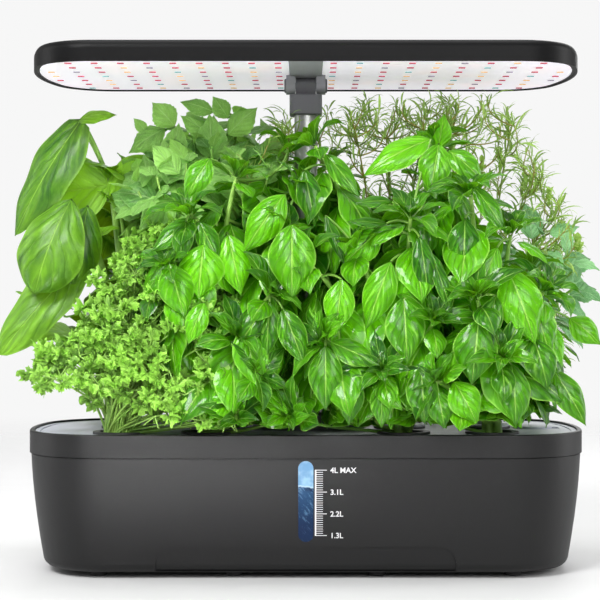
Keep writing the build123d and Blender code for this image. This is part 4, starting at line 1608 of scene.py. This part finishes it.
# ---------------------------------------------------------------- hard parts
@dataclass(frozen=True)
class HardParts:
    """The finish of each CAD node that shows, by the start of its name."""

    finishes: Tuple[Tuple[Any, Tuple[str, ...]], ...] = (
        (MouldedPlastic("tank_black", (0.0045, 0.0045, 0.0047), 0.46, gloss=0.32),
         ("reservoir_tub", "deck_frame")),
        (MouldedPlastic("lamp_black", (0.003, 0.003, 0.0032), 0.42, gloss=0.10), ("lamp_housing",)),
        (MouldedPlastic("deck_grey", (0.43, 0.44, 0.52), 0.42, 1100.0), ("grow_deck", "refill_cap")),
        (MouldedPlastic("cap_grey", (0.40, 0.41, 0.47), 0.38, 900.0), ("spare_cap",)),
        (MouldedPlastic("basket_black", (0.016, 0.016, 0.018), 0.5), ("planted_baskets", "spare_basket")),
        (MouldedPlastic("hinge_grey", (0.105, 0.106, 0.116), 0.5, 1900.0, gloss=0.4),
         ("control_housing", "lamp_sleeve", "hinge_pin")),
        # a lighter copy of the hinge grey: painted light that makes up for the shade the spine stands in
        # under the lamp
        (MouldedPlastic("spine_grey_painted_lighter", (0.25, 0.25, 0.27), 0.5, 1900.0, gloss=0.4), ("lamp_spine",)),
        (MouldedPlastic("bush_black", (0.02, 0.02, 0.022), 0.38),
         ("power_inlet", "pole_outer_bush", "pole_middle_bush")),
        (MouldedPlastic("pump_black", (0.014, 0.014, 0.016), 0.46), ("pump_housing", "pump_cover")),
        (MouldedPlastic("impeller_white", (0.72, 0.72, 0.70), 0.36), ("pump_impeller",)),
        (MouldedPlastic("riser_grey", (0.34, 0.35, 0.37), 0.3), ("pump_riser",)),
        (MouldedPlastic("button_grey", (0.55, 0.56, 0.60), 0.3, coat=0.2), ("button",)),
        (Rubber("foot_rubber"), ("reservoir_feet",)),
        (Foam("sponge_brown", (0.10, 0.066, 0.040)), ("planted_sponges", "spare_sponge")),
        (PolishedSteel("pole_steel"),
         ("refill_pin", "pole_outer_tube", "pole_middle_tube", "pole_inner_tube")),
        (SightPane("sight_pane"), ("sight_window",)),
        (LightBoard("light_board_white"), ("light_board",)),
        (CircuitBoard("circuit_green"), ("control_board",)),
        (BrushedAluminium("heat_fins"), ("heat_plate",)),
        (LightChip("chip_red", (0.46, 0.06, 0.10), 0.2), ("chips_red",)),
        (LightChip("chip_warm", (0.78, 0.50, 0.26), 0.2), ("chips_warm",)),
        (LightChip("chip_teal", (0.22, 0.42, 0.42), 0.2), ("chips_teal",)),
        (LightChip("chip_white", (0.30, 0.27, 0.33), 0.15), ("chips_white",)),
    )

    def dress(self) -> int:
        """Sets the material of every CAD node that shows.

        Returns:
            How many nodes were dressed.
        """
        count = 0
        for finish, starts in self.finishes:
            material = finish.make()
            for name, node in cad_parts.items():
                if name.startswith(starts):
                    node.data.materials.clear()
                    node.data.materials.append(material)
                    count += 1
        return count


# ---------------------------------------------------------------- garden
class Plant(Enum):
    """The plants, each with its leaf finish."""

    BASIL = LeafFinish(
        "leaf_basil", (0.003, 0.055, 0.001), (0.165, 0.610, 0.003), (0.44, 0.78, 0.13), (0.26, 0.74, 0.01),
        roughness=0.27, pucker=0.0011, coat=0.4, coat_roughness=0.10, gloss=0.15, streak=0.34,
        vein_light=0.16, edge_light=0.45)
    BROAD = LeafFinish(
        "leaf_broad_basil", (0.008, 0.070, 0.003), (0.260, 0.580, 0.020), (0.32, 0.58, 0.07),
        (0.30, 0.55, 0.01), roughness=0.36, side_veins=4.0, pucker=0.0008, midrib=0.035, vein_light=0.10,
        gloss=0.25, streak=0.10, wander=0.9, translucency=0.14)
    PARSLEY = LeafFinish(
        "leaf_parsley", (0.008, 0.070, 0.003), (0.370, 0.730, 0.090), (0.42, 0.70, 0.16), (0.32, 0.64, 0.06),
        roughness=0.40, side_veins=3.0, pucker=0.0006, edge_light=0.1, streak=0.25, margin_light=0.50,
        translucency=0.14)
    BALM = LeafFinish(
        "leaf_lemon_balm", (0.020, 0.150, 0.012), (0.400, 0.800, 0.150), (0.60, 0.90, 0.36),
        (0.42, 0.82, 0.12), roughness=0.40, network=0.3, pucker=0.0014, translucency=0.3)
    MINT = LeafFinish(
        "leaf_mint", (0.030, 0.180, 0.045), (0.340, 0.720, 0.300), (0.56, 0.86, 0.48), (0.34, 0.74, 0.20),
        roughness=0.40, network=0.3, pucker=0.0014, translucency=0.2)
    ROSEMARY = LeafFinish(
        "leaf_rosemary", (0.100, 0.240, 0.030), (0.520, 0.760, 0.170), (0.60, 0.78, 0.30), (0.42, 0.66, 0.10),
        roughness=0.46, side_veins=1.0, pucker=0.0002, coat=0.0, streak=0.1)


class Garden:
    """The eight planted pods."""

    def __init__(self) -> None:
        """Makes the leaf and stem finishes."""
        self.leaves = {plant: plant.value.make() for plant in Plant}
        self.green_stem = StemFinish("stem_green", (0.08, 0.24, 0.02), (0.30, 0.50, 0.09)).make()
        self.woody_stem = StemFinish("stem_woody", (0.14, 0.32, 0.06), (0.40, 0.27, 0.05)).make()

    def herbs(self) -> List[Herb]:
        """Returns:
            The herbs, front row first.
        """
        leaves, green, woody = self.leaves, self.green_stem, self.woody_stem
        basil, balm, rosemary = leaves[Plant.BASIL], leaves[Plant.BALM], leaves[Plant.ROSEMARY]
        return [
            Parsley("herb_front_1", leaves[Plant.PARSLEY], green, 11, PARSLEY_BED),
            SweetBasil("herb_front_2", basil, green, 12, BASIL_BEDS[0], BASIL_LEFT, BASIL_LEFT_BLADES),
            SweetBasil("herb_front_3", basil, green, 13, BASIL_BEDS[1], BASIL_MIDDLE, BASIL_MIDDLE_BLADES),
            SweetBasil("herb_front_4", basil, green, 14, BASIL_BEDS[2], BASIL_RIGHT, BASIL_RIGHT_BLADES),
            BroadBasil("herb_back_1", leaves[Plant.BROAD], green, 21, BROAD_BED, BROAD_SHOOTS, BROAD_BLADES),
            LemonBalm("herb_back_2", balm, green, 22, BALM_BED, BALM_SHOOTS, BALM_BLADES),
            Rosemary("herb_back_3", rosemary, woody, 23, ROSEMARY_BEDS[0]),
            Rosemary("herb_back_4", rosemary, woody, 24, ROSEMARY_BEDS[1], ROSEMARY_CLUSTERS),
            LemonBalm("herb_back_4", leaves[Plant.MINT], green, 25, None, MINT_SHOOTS),
        ]


PARSLEY_BED = Bed(
    top=((-166, 138), (-150, 150), (-138, 156), (-128, 180), (-114, 200), (-102, 215), (-86, 224), (-67, 214),
         (-50, 190), (-44, 165)),
    foot=((-166, 122), (-105, 122), (-92, 98), (-44, 98)),
    low_y=-86, high_y=-36, inner_y=-6,
)
BASIL_BEDS = (
    Bed(top=((-108, 200), (-90, 225), (-60, 245), (-30, 262), (-4, 275)), low_y=-86, high_y=-30, inner_y=6,
        foot=((-108, 186), (-74, 170), (-58, 98), (-4, 98))),
    Bed(top=((-6, 272), (6, 272), (30, 262), (60, 245), (86, 262)), low_y=-88, high_y=-30, inner_y=6),
    Bed(top=((82, 272), (105, 245), (128, 225), (146, 200), (158, 172), (164, 150)), low_y=-86, high_y=-34,
        inner_y=0, foot=((82, 98), (118, 98), (140, 116), (164, 136))),
)
BASIL_LEFT = (
    Shoot(-72, -66, 226, 1.05), Shoot(-22, -80, 176, 1.1), Shoot(-44, -52, 250, 1.0),
    Shoot(-12, -62, 214, 1.0), Shoot(-42, -84, 150, 1.0), Shoot(-84, -72, 194, 0.9),
    Shoot(-30, -86, 128, 0.9),
)
BASIL_LEFT_BLADES = (
    Blade((-8.5, -82, 220), (-8.5, -86, 173.6), 29, 0.55),
    Blade((-63, -76, 208), (-66, -80, 173.6), 28, 0.85),
    Blade((-13, -68, 239.3), (-39.3, -72, 201.7), 22, 0.75),
    Blade((-22, -84, 173), (-43, -88, 142), 16, 0.25), Blade((-22, -86, 172), (-24, -90, 138), 15, 0.20),
    Blade((-14, -86, 168), (-1, -90, 133), 17, 0.25), Blade((-70, -68, 224), (-96, -74, 203), 15, 0.30),
    Blade((-74, -72, 222), (-78, -78, 196), 13, 0.15), Blade((-66, -72, 222), (-54, -76, 198), 14, 0.20),
    Blade((-60, -60, 262), (-76, -64, 236), 17, 0.60), Blade((-84, -80, 196), (-74, -84, 162), 22, 0.60),
    Blade((-38, -86, 158), (-28, -90, 118), 22, 0.70), Blade((-62, -84, 172), (-72, -88, 146), 14, 0.8),
    Blade((-48, -70, 214), (-40, -76, 176), 21, 0.9),
)
BASIL_MIDDLE = (
    Shoot(6, -36, 272, 1.05), Shoot(65, -68, 224, 1.1), Shoot(12, -84, 148, 1.1), Shoot(47, -86, 130, 1.0),
    Shoot(32, -62, 205, 1.1), Shoot(2, -72, 196, 1.05), Shoot(78, -82, 160, 1.0),
)
BASIL_MIDDLE_BLADES = (
    Blade((59.6, -87, 174.8), (61.5, -91, 134.3), 24.5, 0.40),
    Blade((52, -84, 197), (36.5, -87, 155), 20, 0.65),
    Blade((79.3, -44, 275.7), (35.9, -48, 251.4), 20, 0.9, (0.1, -1.0, 0.6)),
    Blade((12, -66, 226), (24, -70, 195), 8, 0.1), Blade((-1, -56, 255), (6, -60, 219), 16, 0.15),
    Blade((54, -66, 235), (30, -70, 233), 8, 0.15), Blade((50, -68, 221), (25, -72, 222), 7, 0.1),
    Blade((46.5, -62, 217), (22, -66, 194), 20, 0.95), Blade((15, -88, 148), (45, -92, 133.6), 16, 0.35),
    Blade((12, -88, 145), (12, -92, 106), 21, 0.30), Blade((46, -88, 123), (46, -91, 95.5), 14, 0.35),
    Blade((70, -80, 212), (75, -84, 174), 14, 0.10), Blade((76, -78, 204), (90, -84, 162), 9, 0.15),
    Blade((60, -76, 196), (70, -82, 166), 21, 0.9), Blade((22, -86, 186), (18, -90, 152), 19, 0.85),
    Blade((70, -88, 132), (72, -92, 98), 20, 0.25), Blade((28, -88, 128), (26, -91, 97), 17, 0.20),
    Blade((12, -50, 266), (34, -56, 238), 13, 0.35),
)
BASIL_RIGHT = (
    Shoot(103, -62, 238, 1.1), Shoot(84, -28, 272, 0.9), Shoot(105, -83, 174, 1.15), Shoot(80, -86, 124, 1.0),
    Shoot(128, -60, 214, 1.1), Shoot(148, -64, 178, 1.1), Shoot(120, -84, 138, 1.1),
)
BASIL_RIGHT_BLADES = (
    Blade((105, -90, 161.3), (100.4, -93, 121.6), 27, 0.30),
    Blade((98.3, -74, 223.6), (96.5, -78, 190.3), 20, 0.15), Blade((124, -82, 192), (140, -85, 146), 28, 0.8),
    Blade((167.3, -44, 162), (187.7, -46, 144.8), 17, 0.7),
    Blade((153.4, -72, 130), (173.2, -75, 95.5), 18, 0.25), Blade((140, -76, 172), (150, -80, 138), 20, 0.45),
    Blade((104, -70, 244), (124, -76, 214), 13, 0.3), Blade((96, -60, 248), (74, -66, 240), 9, 0.2),
    Blade((84, -50, 272), (78, -56, 240), 21, 0.55), Blade((90, -50, 268), (112, -58, 246), 16, 0.5),
    Blade((116, -86, 176), (108, -90, 144), 15, 0.2), Blade((90, -90, 124), (104, -93, 98), 20, 0.75),
    Blade((126, -84, 134), (128, -88, 96), 20, 0.3), Blade((140, -80, 150), (148, -84, 118), 20, 0.2),
    Blade((118, -76, 206), (104, -80, 172), 16, 0.65), Blade((150, -60, 160), (158, -64, 128), 15, 0.85),
    Blade((80, -90, 118), (84, -93, 95), 16, 0.3),
    Blade((85, -30, 270), (89, -34, 293), 14, 0.9, (0.0, -1.0, 0.3), 12),
    Blade((84, -30, 270), (70, -40, 282), 13, 0.45, (0.0, -1.0, 0.5), 30),
)
BROAD_BED = Bed(
    top=((-162, 160), (-150, 190), (-130, 230), (-104, 250), (-98, 250)), low_y=90, high_y=66, inner_y=52,
    foot=((-162, 150), (-132, 100), (-98, 98)))
BROAD_SHOOTS = (Shoot(-134, 34, 255), Shoot(-128, 40, 238), Shoot(-146, 30, 214), Shoot(-112, 44, 230))
BROAD_BLADES = (
    Blade((-151, 20, 295), (-194.2, 10, 216.3), 38, 0.12, (-0.35, -0.9, 0.4), 34, 0.40, 0.48, 0.5, 0.8),
    Blade((-134, 33, 252), (-172, 36, 246), 46, 1.0, (0.1, -1.0, 0.1), 10, 0.55, 0.42, 0.2, 0.2),
    Blade((-156, 5, 240), (-178, -8, 178), 46, 0.30, (-0.2, -1.0, 0.3), 44, 0.58, 0.48, 0.5, 0.1),
    Blade((-146, 15, 204), (-203, 0, 137), 36, 0.40, (-0.25, -1.0, 0.3), 24, 0.45, 0.48, 0.4, 0.2),
    Blade((-134, 32, 241), (-95, 28, 262), 40, 1.0, (0.1, -1.0, 0.3), 12, 0.55, 0.45, 0.2, 0.2),
    Blade((-132.8, 32, 241.7), (-99.4, 30, 232), 24, 0.40, (0.1, -0.8, 0.6)),
    Blade((-153, 20, 294), (-127, 20, 298), 12, 0.75, (0.0, -0.8, 0.7), 60, 0.4, 0.7),
    Blade((-146, 12, 236), (-155, 4, 184), 30, 0.12, (0.3, -1.0, 0.3), 44, 0.55, 0.5, 0.5, 0.2),
    Blade((-124, 60, 250), (-150, 84, 190), 36, 0.45, (-0.2, 1.0, 0.3)),
    Blade((-112, 62, 246), (-108, 86, 196), 34, 0.60, (0.1, 1.0, 0.3)),
)
BALM_BED = Bed(
    top=((-112, 262), (-90, 276), (-60, 286), (-30, 280), (-12, 262)), low_y=90, high_y=56, inner_y=26)
BALM_SHOOTS = (
    Shoot(-100, 30, 284, 0.8), Shoot(-72, 30, 296, 0.95), Shoot(-46, 24, 296, 1.0), Shoot(-24, 34, 284, 0.9),
    Shoot(-60, 20, 276, 1.1), Shoot(-86, 26, 262, 1.0), Shoot(-34, 22, 262, 1.1), Shoot(-16, 40, 262, 0.9),
)
BALM_BLADES = (
    Blade((-88, 16, 290), (-103, 14, 306), 18, 0.7), Blade((-107, 20, 286), (-116, 20, 296), 8, 0.6),
    Blade((-95, 20, 289), (-119, 18, 272), 18, 0.35), Blade((-61.3, 10, 299), (-84, 8, 305.5), 12, 0.3),
    Blade((-64, 15, 284), (-84, 14, 297), 15, 0.7), Blade((-52, 10, 295), (-62, 6, 309), 13, 0.45),
    Blade((-52, 12, 284), (-32, 8, 302), 18, 0.75), Blade((-56, 20, 279), (-80, 16, 284), 12, 0.6),
    Blade((-50, 14, 276), (-24, 8, 262), 24, 0.2, (0.0, -1.0, 0.3), 20),
    Blade((-76, 12, 280), (-100, 6, 256), 26, 0.1, (0.0, -1.0, 0.3), 20),
)
ROSEMARY_BEDS = (
    Bed(top=((-44, 262), (-14, 300), (16, 300), (40, 306), (60, 314), (92, 314)), low_y=88, high_y=44,
        inner_y=4),
    Bed(top=((88, 314), (126, 314), (138, 292), (154, 266), (168, 240), (180, 214)), low_y=88, high_y=46,
        inner_y=6, foot=((88, 98), (140, 98), (180, 130))),
)
ROSEMARY_CLUSTERS = (
    Shoot(168, 50, 248, 1.2), Shoot(177, 50, 225, 1.2), Shoot(187, 45, 213.5, 1.4), Shoot(134, 50, 276, 1.1),
    Shoot(150, 40, 258, 1.0), Shoot(120, 34, 268, 1.0),
)
MINT_SHOOTS = (
    Shoot(158, 6, 216, 1.15), Shoot(174, 4, 200, 1.1), Shoot(180, 10, 182, 1.1), Shoot(160, 60, 196, 1.1),
    Shoot(150, 14, 196, 1.1),
)


# ---------------------------------------------------------------- studio
@dataclass(frozen=True)
class Softbox:
    """One area light: its place, what it faces, its width and height, power in watts and beam in degrees."""

    name: str
    place: Point
    target: Point
    size: Tuple[float, float]
    power: float
    spread: float = 180.0

    def build(self) -> None:
        """Adds the light."""
        data = bpy.data.lights.new(self.name, "AREA")
        data.shape = "RECTANGLE"
        data.size, data.size_y = self.size
        data.energy = self.power
        data.spread = math.radians(self.spread)
        made = bpy.data.objects.new(self.name, data)
        made.location = self.place
        made.rotation_euler = (Vector(self.target) - Vector(self.place)).to_track_quat("-Z", "Y").to_euler()
        bpy.context.scene.collection.objects.link(made)


@dataclass(frozen=True)
class Studio:
    """Camera, lights, backdrop and floor, in metres, with the lens and sensor in millimetres."""

    distance: float = 1.118
    eye_height: float = 0.174
    lens: float = 101.4
    sensor: float = 36.0
    shift: Tuple[float, float] = (-0.00967, -0.0012)
    backdrop: float = 0.93
    fill: float = 0.38
    floor_radius: float = 1.6
    floor_rings: int = 8
    floor_spokes: int = 48
    floor_drop: float = 0.0002
    lights: Tuple[Softbox, ...] = (
        Softbox("key", (-0.7, -1.2, 1.3), (0, 0, 0.15), (0.6, 0.6), 34.0),
        Softbox("front", (0.5, -1.5, 0.7), (0, 0, 0.12), (1.0, 0.6), 14.0),
        Softbox("pool", (-0.13, -0.40, 0.60), (-0.13, -0.401, 0), (0.20, 0.14), 6.5, 24.0),
        Softbox("left", (-1.3, 0.1, 0.5), (0, 0, 0.15), (0.5, 1.0), 6.0),
        Softbox("right", (1.3, 0.1, 0.5), (0, 0, 0.15), (0.5, 1.0), 9.0),
        Softbox("top", (0.0, 0.1, 1.6), (0, 0, 0.2), (1.2, 0.9), 13.0),
        Softbox("back", (0.2, 1.3, 0.8), (0, 0, 0.2), (1.2, 0.8), 9.0),
    )

    def camera(self) -> None:
        """Sets up the level camera in front."""
        data = bpy.data.cameras.new("camera")
        data.lens, data.sensor_width = self.lens, self.sensor
        data.shift_x, data.shift_y = self.shift
        made = bpy.data.objects.new("camera", data)
        made.location = (0.0, -self.distance, self.eye_height)
        made.rotation_euler = (math.pi / 2, 0.0, 0.0)
        bpy.context.scene.collection.objects.link(made)
        bpy.context.scene.camera = made

    def world(self) -> None:
        """A white surround that shows brighter than it lights."""
        world = bpy.data.worlds.new("surround")
        bpy.context.scene.world = world
        world.use_nodes = True
        tree = world.node_tree
        tree.nodes.clear()
        path, mixed, out = (
            tree.nodes.new(f"ShaderNode{kind}") for kind in ("LightPath", "MixShader", "OutputWorld"))
        tree.links.new(path.outputs["Is Camera Ray"], mixed.inputs[0])
        for slot, grey in ((1, self.fill), (2, self.backdrop)):
            shown = tree.nodes.new("ShaderNodeBackground")
            shown.inputs["Color"].default_value = (grey, grey, grey, 1)
            tree.links.new(shown.outputs[0], mixed.inputs[slot])
        tree.links.new(mixed.outputs[0], out.inputs["Surface"])

    def floor(self) -> None:
        """A wide round floor."""
        rings, spokes = self.floor_rings, self.floor_spokes
        turns = np.linspace(0, 2 * np.pi, spokes, endpoint=False)
        points = [
            np.stack([np.cos(turns) * reach / rings, np.sin(turns) * reach / rings, 0 * turns], axis=1)
            for reach in self.floor_radius * np.arange(1, rings + 1)
        ]
        faces = grid_faces(rings, spokes, closed=True).tolist()
        faces += [(k, (k + 1) % spokes, rings * spokes) for k in range(spokes)]
        mesh = bpy.data.meshes.new("floor")
        mesh.from_pydata(np.concatenate(points + [np.zeros((1, 3))]).tolist(), [], faces)
        made = link("floor", mesh, [FloorFinish("floor_paper").make()])
        made.location.z = -self.floor_drop

    def build(self) -> None:
        """Sets up everything round the garden."""
        bpy.context.scene.view_settings.view_transform = "Standard"
        self.camera()
        self.world()
        self.floor()
        for light in self.lights:
            light.build()


def main() -> None:
    """Builds the looks in order."""
    logging.basicConfig(level=logging.INFO, format="%(name)s: %(message)s")
    LOG.info("dressed %d hard parts", HardParts().dress())
    printed = Gauge(WhitePrint("gauge_ink").make()).build()
    LOG.info("printed the gauge in %d pieces", len(printed))
    for herb in Garden().herbs():
        made = herb.build()
        LOG.info("grew %s with %d faces", made.name, len(made.data.polygons))
    Studio().build()


if __name__ == "__main__":
    main()
